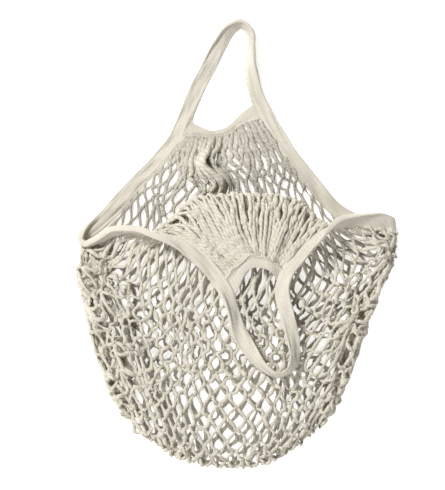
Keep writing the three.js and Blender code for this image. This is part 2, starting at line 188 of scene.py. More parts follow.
LOOP_TABLE: tuple[Station, ...] = tuple(
    Station(*row)
    for row in (
        (-193, 5.6, 11, 0.3, -0.2, -0.93, Mark.CORNER_LEFT),
        (-187.5, 14.8, 7.4, 0.6, -0.5, -0.6),
        (-180, 21.2, 4.6, 0.72, -0.62, -0.3),
        (-168, 30.5, 1.5, 0.76, -0.65, 0),
        (-131.5, 71.5, 1.5, 0.76, -0.65, 0),
        (-99.5, 103, 1.5, 0.76, -0.65, 0),
        (-74.5, 136.5, 1.5, 0.82, -0.57, 0, Mark.BACK_GATHER_LEFT),
        (-66, 154, 2.4, 0.9, -0.42, 0),
        (-56, 180, 4.2, 0.91, -0.41, -0.05),
        (-38.5, 216, 6.6, 0.88, -0.42, -0.14),
        (-22, 247.5, 8.2, 0.8, -0.5, -0.32),
        (-7.5, 268.5, 9.4, 0.5, -0.62, -0.6),
        (4.5, 274.5, 10, 0.02, -0.6, -0.8),
        (14.5, 266.5, 10, -0.4, -0.25, -0.88),
        (17.5, 246, 9.8, -0.36, 0, -0.93),
        (16.5, 224.5, 8.6, -0.62, 0, -0.78),
        (19.5, 203.5, 4.6, -0.95, -0.1, -0.3),
        (26.5, 180, 1.8, -0.92, -0.38, 0),
        (37, 158.5, 1.5, -0.85, -0.5, 0, Mark.BACK_GATHER_RIGHT),
        (53, 132.5, 1.5, -0.82, -0.57, 0),
        (80.5, 93, 1.5, -0.8, -0.6, 0),
        (109, 58.5, 1.5, -0.75, -0.66, 0),
        (133.5, 36, 1.5, -0.6, -0.8, 0),
        (162, 23.5, 1.8, -0.3, -0.95, 0),
        (184, 20.5, 3, -0.06, -0.99, -0.05),
        (192.5, 20.6, 6, 0.16, -0.98, -0.1),
        (195.5, 21.8, 11, 0.3, -0.92, -0.18, Mark.CORNER_RIGHT),
        (193, 25, 16, 0.3, -0.93, -0.22),
        (184, 29, 20, 0.05, -0.97, -0.25),
        (164.5, 30.5, 25.5, 0.05, -0.95, -0.3),
        (141, 29.5, 31, 0.08, -0.8, -0.6),
        (123.5, 26.5, 35.5, 0, -0.42, -0.9),
        (112.5, 20.5, 38.5, -0.12, 0, -0.99),
        (101, 11, 40.5, -0.42, 0.42, -0.8),
        (89, 0, 42, -0.6, 0.45, -0.66),
        (76.5, -15, 43, -0.76, 0.42, -0.5),
        (63.5, -31, 43.4, -0.84, 0.3, -0.45, Mark.FRONT_GATHER_RIGHT),
        (56.5, -51, 43.6, -0.88, 0.18, -0.42),
        (62.5, -89.5, 44.2, -0.95, 0.25, 0),
        (69.5, -121.5, 47, -0.8, 0.1, 0.6),
        (70.5, -141.5, 48.5, -0.5, 0.25, 0.83),
        (62.5, -155, 49, -0.15, 0.25, 0.96),
        (50, -160, 49, 0.1, 0.25, 0.96),
        (34.5, -151.5, 49, 0.4, 0.28, 0.86),
        (16.5, -130.5, 48.5, 0.75, 0.45, 0.4),
        (1.5, -105.5, 48, 0.85, 0.3, -0.2),
        (-5, -80.5, 47.5, 0.74, 0.2, -0.6),
        (-13, -59.5, 45, 0.84, 0.4, -0.3),
        (-23, -43, 42.8, 0.83, 0.55, 0, Mark.FRONT_GATHER_LEFT),
        (-37.5, -25.5, 42.5, 0.78, 0.62, -0.08),
        (-53, -11, 42.3, 0.72, 0.67, -0.15),
        (-68, 0.5, 42, 0.63, 0.67, -0.38),
        (-86, 8.5, 40.5, 0.36, 0.36, -0.86),
        (-106, 13, 37.2, 0.1, -0.08, -0.99),
        (-125, 17, 32, 0, -0.38, -0.92),
        (-140, 17, 27.5, 0, -0.48, -0.88),
        (-155, 15, 23.5, 0.03, -0.46, -0.89),
        (-168, 7.8, 20, 0.08, -0.42, -0.9),
        (-178.5, 2.2, 17, 0.1, -0.36, -0.92),
        (-187.5, -0.4, 14.2, 0.15, -0.25, -0.95),
    )
)

SEAM_TABLE: tuple[SeamRow, ...] = tuple(
    SeamRow(*row)
    for row in (
        (0, -145.5, -198.5, 116.5, -202, 8),
        (2.6, -165, -157.5, 134.5, -165, 8),
        (5.2, -179.5, -115.5, 150.5, -126.5, 8),
        (7.9, -190, -73, 164.5, -87, 8),
        (10.6, -198, -34.5, 178.5, -51, 7),
        (12.4, -198, -16, 189.5, -21, 5),
    )
)

GUIDE_TABLE: tuple[GuideRow, ...] = tuple(
    GuideRow(*row)
    for row in (
        (-28, -45, 131, 1.3, -24, 132, 1.3, 2, 145, 1.3),
        (-26, -53.5, 93, 1.3, -19, 99, 1.3, 17, 109, 1.3),
        (-24, -62, 62, 1.3, -17.5, 68, 1.3, 26, 75.5, 1.3),
        (-20, -77, 6, 1.3, -12.5, 6, 1.3, 47, 11, 1.3),
        (-16, -89.5, -49.5, 1.3, -6.5, -56, 1.3, 68, -47, 1.3),
        (-12, -98, -103, 1.3, -1.5, -115.5, 1.3, 81.5, -100.5, 1.3),
        (-8, -99.5, -155, 1.3, 3.5, -172.5, 1.3, 89, -152.5, 1.3),
        (-4, -93, -207, 1.3, 8.5, -227, 1.3, 90.5, -202, 1.3),
        (-1.5, -86, -242, 1.6, 11, -261.5, 1.6, 81.5, -234.5, 1.6),
        (0, -83.5, -256.5, 9, 11, -275.5, 9, 76.5, -245.5, 9),
        (1.5, -86, -243, 20, 12, -261.5, 20, 79, -233, 20),
        (4, -93, -208.5, 28, 17, -227, 29, 85.5, -201, 28),
        (8, -99.5, -150, 33, 16, -168.5, 35.5, 93, -147.5, 33),
        (12, -100.5, -94, 32, 11, -110.5, 37, 96.5, -94, 32),
        (16, -95.5, -37, 27, 4.5, -51, 35, 94, -41, 28),
        (20, -76, 22.5, 22, 1, 11, 30, 81.5, 20, 24),
        (21.5, -63.5, 46, 25, 2, 41, 30, 76.5, 43.5, 27),
        (22.5, -56, 56, 31, 3.5, 57, 32.5, 71.5, 57, 33),
        (23.5, -47.5, 51, 37.5, 6, 63, 38.5, 66.5, 51, 39),
        (24.5, -37.5, 34.5, 41, 8.5, 51, 43, 60.5, 34.5, 42.5),
        (26, -21.5, 6, 44, 12, 23.5, 45.5, 52, 12.5, 45),
        (28, 1, -22, 44, 22, -13.5, 45, 40.5, -21, 44.5),
    )
)

BACK_GATHER_TABLE: tuple[GatherRow, ...] = (
    GatherRow(-50, 134, 1.2, -46, 147.5, 1.2),
    GatherRow(-33.5, 132, 1.2, -31, 142.5, 1.2),
    GatherRow(-13, 136, 1.2, -12.5, 147.5, 1.2),
    GatherRow(7, 149, 1.2, 4, 163, 1.2),
)
FRONT_GATHER_TABLE: tuple[GatherRow, ...] = (
    GatherRow(2.5, -22.5, 45.8, 10, -36, 45.4),
    GatherRow(15.5, -13, 46.2, 20.5, -28.5, 45.8),
    GatherRow(29, -14.5, 46.2, 31.5, -29, 45.8),
    GatherRow(42.5, -19.5, 46, 42, -34, 45.4),
)


def unit(vectors: Array) -> Array:
    """Vectors of length one along the last axis."""
    return vectors / np.maximum(np.linalg.norm(vectors, axis=-1, keepdims=True), TINY)


def path_length(points: Array) -> Array:
    """Lengths along paths of points, from 0 at their first points."""
    steps = np.linalg.norm(np.diff(points, axis=-2), axis=-1)
    return np.concatenate([np.zeros((*steps.shape[:-1], 1)), np.cumsum(steps, axis=-1)], axis=-1)


def rise(low: float, high: float, value: Array) -> Array:
    """A smooth step from 0 at low to 1 at high: three squares less two cubes of the part of the way."""
    part = np.clip((np.asarray(value, float) - low) / (high - low), 0, 1)
    return part * part * (3 - 2 * part)


def fall(low: float, high: float, value: Array) -> Array:
    """A smooth step from 1 at low to 0 at high."""
    return 1 - rise(low, high, value)


def band(up: Span, down: Span, value: Array) -> Array:
    """A smooth step from 0 to 1 over one span, and back to 0 over another."""
    return rise(*up, value) * fall(*down, value)


def bell(middle: float, reach: float, value: Array) -> Array:
    """A bell of height 1: the exponential of less the square of the distance from its middle in reaches."""
    return np.exp(-(((value - middle) / reach) ** 2))


def inside(reach: float, part: Array) -> Array:
    """A weight across from 0 to 1: 0 at both ends, and 1 from a reach inside them."""
    return rise(0, reach, part) * rise(0, reach, 1 - part)


def at_least(least: float, weight: Array) -> Array:
    """A weight from 0 to 1, drawn up to run from a least one to 1."""
    return least + (1 - least) * weight


class SmoothCurve:
    """A cubic curve through values at rising knots.

    Each knot's tangent is that of the parabola through it and its two neighbours.
    """

    def __init__(self, knots: Sequence[float], values: Sequence[Sequence[float]]) -> None:
        """Works out the tangents.

        Args:
            knots: Rising places of the values.
            values: A row of numbers for each knot.
        """
        self.knots = np.asarray(knots, float)
        self.values = np.asarray(values, float)
        steps = np.diff(self.knots)
        slopes = np.diff(self.values, axis=0) / steps[:, None]
        weighed = steps[1:, None] * slopes[:-1] + steps[:-1, None] * slopes[1:]
        inner = weighed / (steps[1:] + steps[:-1])[:, None]
        self.tangents = np.concatenate([slopes[:1], inner, slopes[-1:]])

    @classmethod
    def through(cls, table: Sequence[Sequence[float]], columns: slice = slice(1, None)) -> SmoothCurve:
        """The curve through columns of a table, with its first column as the knots."""
        return cls([row[0] for row in table], [row[columns] for row in table])

    def __call__(self, place: Array) -> Array:
        """The curve's values at places.

        Args:
            place: Places of any shape.

        Returns:
            Rows of numbers, one for each place.
        """
        place = np.asarray(place, float)
        i = np.clip(np.searchsorted(self.knots, place, side="right") - 1, 0, len(self.knots) - 2)
        span = self.knots[i + 1] - self.knots[i]
        f = (place - self.knots[i]) / span
        rise = (f * f * (3 - 2 * f))[..., None]
        leave = (f * (1 - f) ** 2 * span)[..., None]
        arrive = (f * f * (f - 1) * span)[..., None]
        ends = self.values[i] * (1 - rise) + self.values[i + 1] * rise
        return ends + self.tangents[i] * leave + self.tangents[i + 1] * arrive


class Ripples:
    """A smooth uneven field over two parameters: a sum of sine waves of seeded directions and phases."""

    def __init__(self, seed: Seed, waves: int, longest: float, shortest: float, width: int = 1) -> None:
        """Draws the waves.

        Args:
            seed: Which random numbers it uses.
            waves: Number of sine waves in each sum.
            longest: Longest wave, in the unit of the parameters.
            shortest: Shortest wave.
            width: Number of separate fields.
        """
        draw = seed.draw()
        length = longest * (shortest / longest) ** draw.random((waves, width))
        turn = draw.random((waves, width)) * TURN
        self.a = TURN * np.cos(turn) / length
        self.b = TURN * np.sin(turn) / length
        self.phase = draw.random((waves, width)) * TURN
        self.size = math.sqrt(2 / waves)

    def __call__(self, u: Array, v: Array) -> Array:
        """The fields at places, of about unit size.

        Args:
            u: First parameter.
            v: Second parameter, of the same shape.

        Returns:
            An array with one more axis, the separate fields.
        """
        u, v = np.broadcast_arrays(np.asarray(u, float), np.asarray(v, float))
        total = np.zeros(u.shape + self.phase.shape[1:])
        for a, b, phase in zip(self.a, self.b, self.phase):
            total += np.sin(u[..., None] * a + v[..., None] * b + phase)
        return total * self.size


@dataclass
class TapeRoute:
    """The closed loop that the tape follows, by length along it."""

    table: Sequence[Station]
    width: float = TAPE_WIDTH
    wrap: int = 3
    step: float = 0.5

    def __post_init__(self) -> None:
        """Fits the curves through the stations, wrapped round at both ends."""
        rows = list(self.table)
        wrapped = rows[-self.wrap :] + rows + rows[: self.wrap + 1]
        centres = np.array([row[:3] for row in wrapped], float)
        places = path_length(centres)
        places -= places[self.wrap]
        self.half = self.width / 2
        self.length = float(places[self.wrap + len(rows)])
        self.marks = {row.mark: float(place) for row, place in zip(rows, places[self.wrap :])}
        self.middle = SmoothCurve(places, centres)
        self.side = SmoothCurve(places, [row[3:6] for row in wrapped])

    def frame(self, place: Array) -> tuple[Array, Array, Array]:
        """The tape's own directions along the loop.

        Args:
            place: Lengths along the loop.

        Returns:
            Middle points, directions across to the sewn edge, and directions out of the face.
        """
        place = np.mod(np.asarray(place, float), self.length)
        along = unit(self.middle(place + self.step) - self.middle(place - self.step))
        side = self.side(place)
        side = unit(side - along * np.sum(side * along, axis=-1, keepdims=True))
        return self.middle(place), side, np.cross(along, side)

    def edge(self, place: Array, gap: float) -> Array:
        """Points beyond the sewn edge by a gap."""
        middle, side, _ = self.frame(place)
        return middle + side * (self.half + gap)


@dataclass
class GatherRoute:
    """The two edges of a gather tape, from its left end on the loop to its right end.

    Both ends are sewn to the loop, from its foot to the reach of that end up the handle.
    """

    loop: TapeRoute
    table: Sequence[GatherRow]
    ends: tuple[Mark, Mark]
    run: Run
    reach: Span
    foot: float = 1.0
    gap: float = -0.6
    step: float = 0.01

    def __post_init__(self) -> None:
        """Fits the two edges through both ends and the rows of the table between them."""
        knots = np.linspace(0, 1, len(self.table) + 2)
        left, right = (self.loop.marks[end] for end in self.ends)
        turn = self.run.value
        first = [self.loop.edge(left + turn * up, self.gap) for up in (self.foot, self.reach[0])]
        last = [self.loop.edge(right - turn * up, self.gap) for up in (self.foot, self.reach[1])]
        self.net = SmoothCurve(knots, [first[0], *(row[:3] for row in self.table), last[0]])
        self.free = SmoothCurve(knots, [first[1], *(row[3:] for row in self.table), last[1]])

    def frame(self, share: Array) -> tuple[Array, Array, Array, Array]:
        """The tape's own directions from end to end.

        Args:
            share: Shares of the way along it.

        Returns:
            Middle points, directions across to the net, directions out of the face, and half widths.
        """
        share = np.asarray(share, float)
        net, free = self.net(share), self.free(share)
        half = np.linalg.norm(net - free, axis=-1) / 2
        across = unit(net - free)
        along = self.net(np.minimum(share + self.step, 1)) - self.net(np.maximum(share - self.step, 0))
        return (net + free) / 2, across, unit(np.cross(along, across)), half

    def edge(self, share: Array, gap: float) -> Array:
        """Points beyond the sewn edge by a gap."""
        middle, across, _, half = self.frame(share)
        return middle + across * (half[..., None] + gap)


@dataclass
class NetForm:
    """The middle surface of the net, by share and station.

    Each station is a smooth blend of five columns: the two side edges, and guides at the quarters. A side
    edge follows the seam up to the mouth, and then the loop of tape. Near a gather the net is drawn to its
    sewn edge. The lower back lies under the front, cell by cell, and drifts a little from it.
    """

    loop: TapeRoute
    back: GatherRoute
    front: GatherRoute
    stations: int = 28
    seam_top: int = 14
    gap: float = -2.0
    floor: float = 1.7
    dome_end: float = 18.0
    dome_fade: float = 5.0
    draw_reach: float = 4.0
    drift: float = 1.6
    left_drift: float = 4.0
    right_drift: float = 4.5
    tuck: float = 2.4
    step_across: float = 0.002
    step_up: float = 0.05
    edge_share: float = 0.004
    shares: tuple[float, ...] = (0, 0.25, 0.5, 0.75, 1)

    def __post_init__(self) -> None:
        """Fits the seams, the guides and the weights of the five columns."""
        marks, loop = self.loop.marks, self.loop
        self.corners = (marks[Mark.CORNER_LEFT], marks[Mark.CORNER_RIGHT])
        self.back_ends = (marks[Mark.BACK_GATHER_LEFT], marks[Mark.BACK_GATHER_RIGHT])
        self.front_ends = (marks[Mark.FRONT_GATHER_LEFT] - loop.length, marks[Mark.FRONT_GATHER_RIGHT])
        knots = [row.station for row in SEAM_TABLE] + [self.seam_top]
        left = [(row.left_x, row.left_y, row.z) for row in SEAM_TABLE]
        right = [(row.right_x, row.right_y, row.z) for row in SEAM_TABLE]
        self.seams = [
            SmoothCurve(knots, [*side, loop.edge(corner, self.gap)])
            for side, corner in zip((left, right), self.corners)
        ]
        self.guides = [SmoothCurve.through(GUIDE_TABLE, slice(first, first + 3)) for first in (1, 4, 7)]
        flat = np.array(self.shares)
        self.flat = SmoothCurve(flat, np.eye(len(flat)))
        self.dome = SmoothCurve(self.dome_share(flat), np.eye(len(flat)))
        self.slips = Ripples(Seed.DRIFT, waves=12, longest=1.1, shortest=0.35, width=2)

    @staticmethod
    def dome_share(share: Array) -> Array:
        """The share as an angle round a half circle, so that a dome stands steep at its sides."""
        return np.arccos(np.clip(1 - 2 * np.asarray(share, float), -1, 1)) / math.pi

    def side(self, which: int, station: Array) -> Array:
        """The side edges: the seam below the mouth, and the binding above it.

        Args:
            which: 0 for the left edge and 1 for the right.
            station: Stations.

        Returns:
            Points of the edge.
        """
        up = np.abs(station)
        along = np.clip((up - self.seam_top) / (self.stations - self.seam_top), 0, 1)
        corner = self.corners[which]
        end = np.where(station > 0, self.front_ends[which], self.back_ends[which])
        bound = self.loop.edge(corner + along * (end - corner), self.gap)
        seam = self.seams[which](np.minimum(up, self.seam_top))
        return np.where((up <= self.seam_top)[..., None], seam, bound)

    def loose(self, share: Array, station: Array) -> Array:
        """The surface before it is drawn to the gathers: five weighed columns, domed below the mouth.

        Args:
            share: Shares.
            station: Stations, of the same shape.

        Returns:
            Points of the surface.
        """
        left, right = (self.side(which, station) for which in (0, 1))
        columns = np.stack([left, *(guide(station) for guide in self.guides), right], axis=-2)
        flat = self.flat(share)
        dome = self.dome(self.dome_share(share))
        domed = np.clip((self.dome_end - station) / self.dome_fade, 0, 1)
        point = np.sum(flat[..., None] * columns, axis=-2)
        height = domed * np.sum(dome * columns[..., 2], axis=-1) + (1 - domed) * point[..., 2]
        point[..., 2] = np.maximum(height, self.floor)
        return point

    def under_front(self, share: Array, up: Array) -> Array:
        """Where the lower back lies under the front, with a drift that is largest along the loose sides.

        Args:
            share: Shares.
            up: Stations up from the bottom fold.

        Returns:
            Points on the floor, without their heights.
        """
        sides = 1 + self.left_drift * fall(0.10, 0.32, share) + self.right_drift * rise(0.62, 0.82, share)
        slip = self.drift * sides[..., None] * self.slips(share, up / self.stations)
        return self.loose(share, up)[..., :2] + slip * inside(0.06, share)[..., None]

    def point(self, share: Array, station: Array) -> Array:
        """The surface.

        Args:
            share: Shares.
            station: Stations, of a shape that goes with it.

        Returns:
            Points in the tables' frame.
        """
        share, station = np.broadcast_arrays(np.asarray(share, float), np.asarray(station, float))
        share = np.clip(share, 0, 1)
        station = np.clip(station, -self.stations, self.stations)
        point = self.loose(share, station)
        up = np.abs(station)
        drawn = np.clip((up - self.stations + self.draw_reach) / self.draw_reach, 0, 1) ** 2
        last = np.where(station > 0, self.stations, -self.stations).astype(float)
        front, back = (gather.edge(share, self.gap) for gather in (self.front, self.back))
        target = np.where((station > 0)[..., None], front, back)
        point = point + drawn[..., None] * (target - self.loose(share, last))
        under = (station < 0) * fall(12, 20, up) * rise(0, 3, up)
        point[..., :2] += under[..., None] * (self.under_front(share, up) - point[..., :2])
        point[..., 2] -= self.tuck * rise(25.5, self.stations, station)
        return point

    def frame(self, share: Array, station: Array) -> tuple[Array, Array, Array]:
        """The directions of the surface, from points a small step apart, just inside its edges.

        Args:
            share: Shares.
            station: Stations, of the same shape.

        Returns:
            Directions over a whole width, directions up a station, and outward normals.
        """
        step, lift = self.step_across, self.step_up
        share = np.clip(share, self.edge_share, 1 - self.edge_share)
        station = np.clip(station, lift - self.stations, self.stations - lift)
        over = (self.point(share + step, station) - self.point(share - step, station)) / (2 * step)
        up = (self.point(share, station + lift) - self.point(share, station - lift)) / (2 * lift)
        return over, up, unit(np.cross(over, up))


@dataclass
class MeshParts:
    """A mesh put together from grids of points. Its UV map has metres along a tube and turns round it."""

    points: list[Array] = field(default_factory=list)
    maps: list[Array] = field(default_factory=list)
    faces: list[Array] = field(default_factory=list)
    caps: list[Array] = field(default_factory=list)
    count: int = 0

    def add_tubes(self, rings: Array, along: Array, closed: bool = False) -> None:
        """Adds tubes: rings of points carried along paths.

        Args:
            rings: Points of shape tubes, places, sides, 3, in millimetres.
            along: Length along each tube, of shape tubes, places.
            closed: True where the last ring joins the first. Otherwise both ends are capped.
        """
        tubes, places, sides, _ = rings.shape
        index = self.count + np.arange(tubes * places * sides).reshape(tubes, places, sides)
        near = index if closed else index[:, :-1]
        far = np.roll(index, -1, axis=1) if closed else index[:, 1:]
        quads = np.stack([near, np.roll(near, -1, axis=2), np.roll(far, -1, axis=2), far], axis=-1)
        around = np.broadcast_to(np.arange(sides) / sides, (tubes, places, sides))
        length = np.broadcast_to(along[..., None] * MM, around.shape)
        self.points.append(rings.reshape(-1, 3))
        self.maps.append(np.stack([length, around], axis=-1).reshape(-1, 2))
        self.faces.append(quads.reshape(-1, 4))
        if not closed:
            self.caps.append(np.concatenate([index[:, 0, ::-1], index[:, -1]]))
        self.count += tubes * places * sides

    def build(self, name: str, material: bpy.types.Material) -> bpy.types.Object:
        """Makes the object, at the origin, with smooth shading.

        Args:
            name: Name of the piece.
            material: Its finish.

        Returns:
            The new object, linked to the scene.
        """
        points = (np.concatenate(self.points) - BOX_MIDDLE) * MM
        loops = [block.reshape(-1) for block in self.faces + self.caps]
        sizes = [np.full(len(block), block.shape[1]) for block in self.faces + self.caps]
        corner = np.concatenate(loops).astype(np.int32)
        size = np.concatenate(sizes).astype(np.int32)
        start = np.concatenate([[0], np.cumsum(size)[:-1]]).astype(np.int32)
        mesh = bpy.data.meshes.new(name)
        mesh.vertices.add(len(points))
        mesh.vertices.foreach_set("co", points.astype(np.float32).ravel())
        mesh.loops.add(len(corner))
        mesh.loops.foreach_set("vertex_index", corner)
        mesh.polygons.add(len(size))
        mesh.polygons.foreach_set("loop_start", start)
        layer = mesh.uv_layers.new(name=UV_NAME)
        layer.data.foreach_set("uv", np.concatenate(self.maps)[corner].astype(np.float32).ravel())
        mesh.polygons.foreach_set("use_smooth", np.ones(len(size), dtype=bool))
        mesh.update(calc_edges=True)
        mesh.validate()
        mesh.materials.append(material)
        piece = bpy.data.objects.new(name, mesh)
        bpy.context.scene.collection.objects.link(piece)
        return piece


def declare(
    piece: bpy.types.Object, node: str
) -> None:
    """Args:
        piece: The piece.
        node: The solid that it stands for.
    """
    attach(piece, "root")
    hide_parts(node)


class NodeTree:
    """Short ways to add and join the nodes of a material."""

    def __init__(self, name: str) -> None:
        """Starts a material with a Principled shader.

        Args:
            name: Name of the material.
        """
        self.material = bpy.data.materials.new(name)
        self.material.use_nodes = True
        self.tree = self.material.node_tree
        self.shader = next(node for node in self.tree.nodes if node.type == "BSDF_PRINCIPLED")

    def put(self, socket: Socket, value: object) -> None:
        """Sets a socket's value, or joins another node's output to it.

        Args:
            socket: The socket.
            value: A value, or another node's output socket.
        """
        if isinstance(value, Socket):
            self.tree.links.new(value, socket)
        else:
            socket.default_value = value

    def shade(self, settings: dict[str, object]) -> None:
        """Sets or joins sockets of the shader, by their names."""
        for name, value in settings.items():
            self.put(self.shader.inputs[name], value)

    def add(self, kind: str, inputs: dict | None = None, **settings: object) -> bpy.types.Node:
        """Adds a node.

        Args:
            kind: Blender's name of the node type.
            inputs: Socket name to a value, or to another node's output socket.
            settings: Properties of the node.

        Returns:
            The new node.
        """
        node = self.tree.nodes.new(kind)
        for key, value in settings.items():
            setattr(node, key, value)
        for key, value in (inputs or {}).items():
            self.put(node.inputs[key], value)
        return node

    def math(self, operation: str, *values: object) -> Socket:
        """Adds a Math node.

        Args:
            operation: Blender's name of the operation.
            values: Values, or other nodes' output sockets.

        Returns:
            The node's output.
        """
        node = self.add("ShaderNodeMath", operation=operation)
        for socket, value in zip(node.inputs, values):
            self.put(socket, value)
        return node.outputs[0]

    def wave(self, value: Socket, rate: float) -> Socket:
        """The sine of a value times a rate."""
        return self.math("SINE", self.math("MULTIPLY", value, rate))

    def total(self, *terms: tuple[Socket, float]) -> Socket:
        """Adds up values.

        Args:
            terms: Pairs of a value and its weight.

        Returns:
            The sum of the values times their weights.
        """
        first, *others = (self.math("MULTIPLY", value, weight) for value, weight in terms)
        for other in others:
            first = self.math("ADD", first, other)
        return first

    def noise(self, coords: Socket, scale: float, detail: float, roughness: float) -> Socket:
        """The value of a noise texture."""
        inputs = {"Vector": coords, "Scale": scale, "Detail": detail, "Roughness": roughness}
        return self.add("ShaderNodeTexNoise", inputs).outputs["Fac"]

    def split(self, vector: Socket) -> tuple[Socket, Socket, Socket]:
        """The three parts of a vector."""
        node = self.add("ShaderNodeSeparateXYZ", {"Vector": vector})
        return node.outputs["X"], node.outputs["Y"], node.outputs["Z"]

    def ramp(self, value: Socket, stops: Sequence[tuple[float, Colour]]) -> Socket:
        """Adds a colour ramp.

        Args:
            value: The place on the ramp.
            stops: Pairs of a place and its colour.

        Returns:
            The node's colour.
        """
        node = self.add("ShaderNodeValToRGB", {"Fac": value})
        for element, (place, colour) in zip(node.color_ramp.elements, stops):
            element.position = place
            element.color = (*colour, 1.0)
        return node.outputs["Color"]


@dataclass(frozen=True)
class CottonFinish:
    """What both finishes of unbleached cotton share: two colours, and a dull surface with a soft sheen."""

    name: str
    light: Colour
    dark: Colour
    tint_span: Span
    roughness: float = 0.9
    bump: float = 0.8
    bump_depth: float = 0.0005
    specular: float = 0.2
    sheen: float = 0.25
    sheen_roughness: float = 0.6

    def start(self) -> tuple[NodeTree, Socket, Socket, Socket]:
        """Starts the material.

        Returns:
            Its nodes, the Object coordinates, the length along the yarn or tape, and the part of a turn round
            it.
        """
        tree = NodeTree(self.name)
        coords = tree.add("ShaderNodeTexCoord").outputs["Object"]
        along, around, _ = tree.split(tree.add("ShaderNodeUVMap", uv_map=UV_NAME).outputs["UV"])
        return tree, coords, along, around

    def tint(self, tree: NodeTree, blend: Socket) -> Socket:
        """The colour from dark to light, by a blend from the low to the high end of the span."""
        return tree.ramp(blend, list(zip(self.tint_span, (self.dark, self.light))))

    def dress(self, tree: NodeTree, colour: Socket, height: Socket) -> bpy.types.Material:
        """Sets the shader.

        Args:
            tree: The material's nodes.
            colour: Colour of the surface.
            height: Height of its relief.

        Returns:
            The material.
        """
        relief = {"Height": height, "Strength": self.bump, "Distance": self.bump_depth}
        tree.shade(
            {
                "Base Color": colour,
                "Normal": tree.add("ShaderNodeBump", relief).outputs["Normal"],
                "Roughness": self.roughness,
                "Specular IOR Level": self.specular,
                "Sheen Weight": self.sheen,
                "Sheen Roughness": self.sheen_roughness,
            }
        )
        return tree.material


@dataclass(frozen=True)
class CottonYarn(CottonFinish):
    """Unbleached cotton yarn: two soft plies twisted together, a little uneven in colour, and darkened by
    painted shade in its furrows and towards the ground.
    """

    name: str = "cotton_yarn"
    light: Colour = (0.685, 0.645, 0.552)
    dark: Colour = (0.45, 0.41, 0.325)
    tint_span: Span = (0.35, 0.87)
    roughness: float = 0.92
    bump: float = 0.7
    # Painted shade: a grey that the colour is multiplied by near the ground, fading to white above a height.
    painted_ground_shade: Colour = (0.72, 0.72, 0.73)
    unshaded: Colour = (1.0, 1.0, 1.0)
    painted_shade_height: float = 0.015
    painted_shade_span: Span = (0.1, 1.0)
    plies: float = 2.0
    twist_pitch: float = 0.0065
    grain_scale: float = 620.0
    patch_scale: float = 38.0
    # Painted shade in the furrows between the plies.
    ply_furrow_shade: float = 0.26
    patch_tint: float = 0.4
    grain_tint: float = 0.74
    ply_relief: float = 0.5
    grain_relief: float = 0.8

    def material(self) -> bpy.types.Material:
        """Builds the finish.

        The plies are stripes that run round the yarn as they run along it: the sine of the turns round it
        plus the length along it. They and a fine grain raise the surface. The furrows between the plies are
        darkened by painted shade. The grain's tone is darker where it is low, so it is partly random tone and
        partly painted shade. The yarn is also darkened towards the ground by painted shade.

        Returns:
            The material.
        """
        tree, coords, along, around = self.start()
        turns = tree.math("DIVIDE", along, self.twist_pitch)
        twist = tree.math("ADD", tree.math("MULTIPLY", around, self.plies), turns)
        ply = tree.math("MULTIPLY_ADD", tree.wave(twist, TURN), 0.5, 0.5)
        grain = tree.noise(coords, self.grain_scale, detail=4.0, roughness=0.7)
        patch = tree.noise(coords, self.patch_scale, detail=2.0, roughness=0.5)
        # The ply term paints shade in the furrows. The grain is partly random tone and partly painted shade
        # in its low spots. The patches are random tone.
        blend = tree.total((ply, self.ply_furrow_shade), (patch, self.patch_tint), (grain, self.grain_tint))
        # Painted shade: the colour is darkened towards the ground, where the lower layers of the net lie.
        above = tree.math("DIVIDE", tree.split(coords)[2], self.painted_shade_height)
        painted_ground_shade = tree.ramp(above, list(zip(self.painted_shade_span, (self.painted_ground_shade, self.unshaded))))
        shaded_tint = tree.add("ShaderNodeVectorMath", {0: self.tint(tree, blend), 1: painted_ground_shade}, operation="MULTIPLY")
        height = tree.total((ply, self.ply_relief), (grain, self.grain_relief))
        return self.dress(tree, shaded_tint.outputs["Vector"], height)


@dataclass(frozen=True)
class KnitTape(CottonFinish):
    """Unbleached rib-knit tape: fine ribs across it, and rows of stitches along it."""

    name: str = "knit_tape"
    light: Colour = (0.66, 0.62, 0.535)
    dark: Colour = (0.54, 0.50, 0.41)
    tint_span: Span = (0.25, 0.75)
    rib_pitch: float = RIB_PITCH * MM
    stitches: int = 26
    grain_scale: float = 1500.0
    patch_scale: float = 60.0
    rib_size: float = 0.2
    stitch_size: float = 0.14
    # Painted shade in the furrows between the ribs and the stitches.
    weave_furrow_shade: float = 0.5
    patch_tint: float = 0.45
    grain_tint: float = 0.25
    grain_relief: float = 0.5

    def material(self) -> bpy.types.Material:
        """Builds the finish.

        Ribs are the sine of the length along the tape, in step with those of its mesh, and stitches are the
        sine of the place round it. Both raise the surface, and the furrows between them are darkened by
        painted shade. A fine grain raises the surface too. Its tone is darker where it is low, so it is
        partly random tone and partly painted shade.

        Returns:
            The material.
        """
        tree, coords, along, around = self.start()
        rib = tree.wave(along, TURN / self.rib_pitch)
        stitch = tree.wave(around, TURN * self.stitches)
        weave = tree.math("ADD", tree.total((rib, self.rib_size), (stitch, self.stitch_size)), 0.5)
        grain = tree.noise(coords, self.grain_scale, detail=3.0, roughness=0.6)
        patch = tree.noise(coords, self.patch_scale, detail=2.0, roughness=0.5)
        # The weave term paints shade in the furrows. The grain is partly random tone and partly painted shade
        # in its low spots. The patches are random tone.
        blend = tree.total((weave, self.weave_furrow_shade), (patch, self.patch_tint), (grain, self.grain_tint))
        height = tree.math("ADD", weave, tree.math("MULTIPLY", grain, self.grain_relief))
        return self.dress(tree, self.tint(tree, blend), height)


class Panel(Enum):
    """The stretches of the net, each with its first and last row."""

    BACK_TOP = (-30, -15)
    BACK = (-15, 0)
    FRONT = (0, 13)
    FRONT_TOP = (13, 21)
    FLAP = (21, 28)


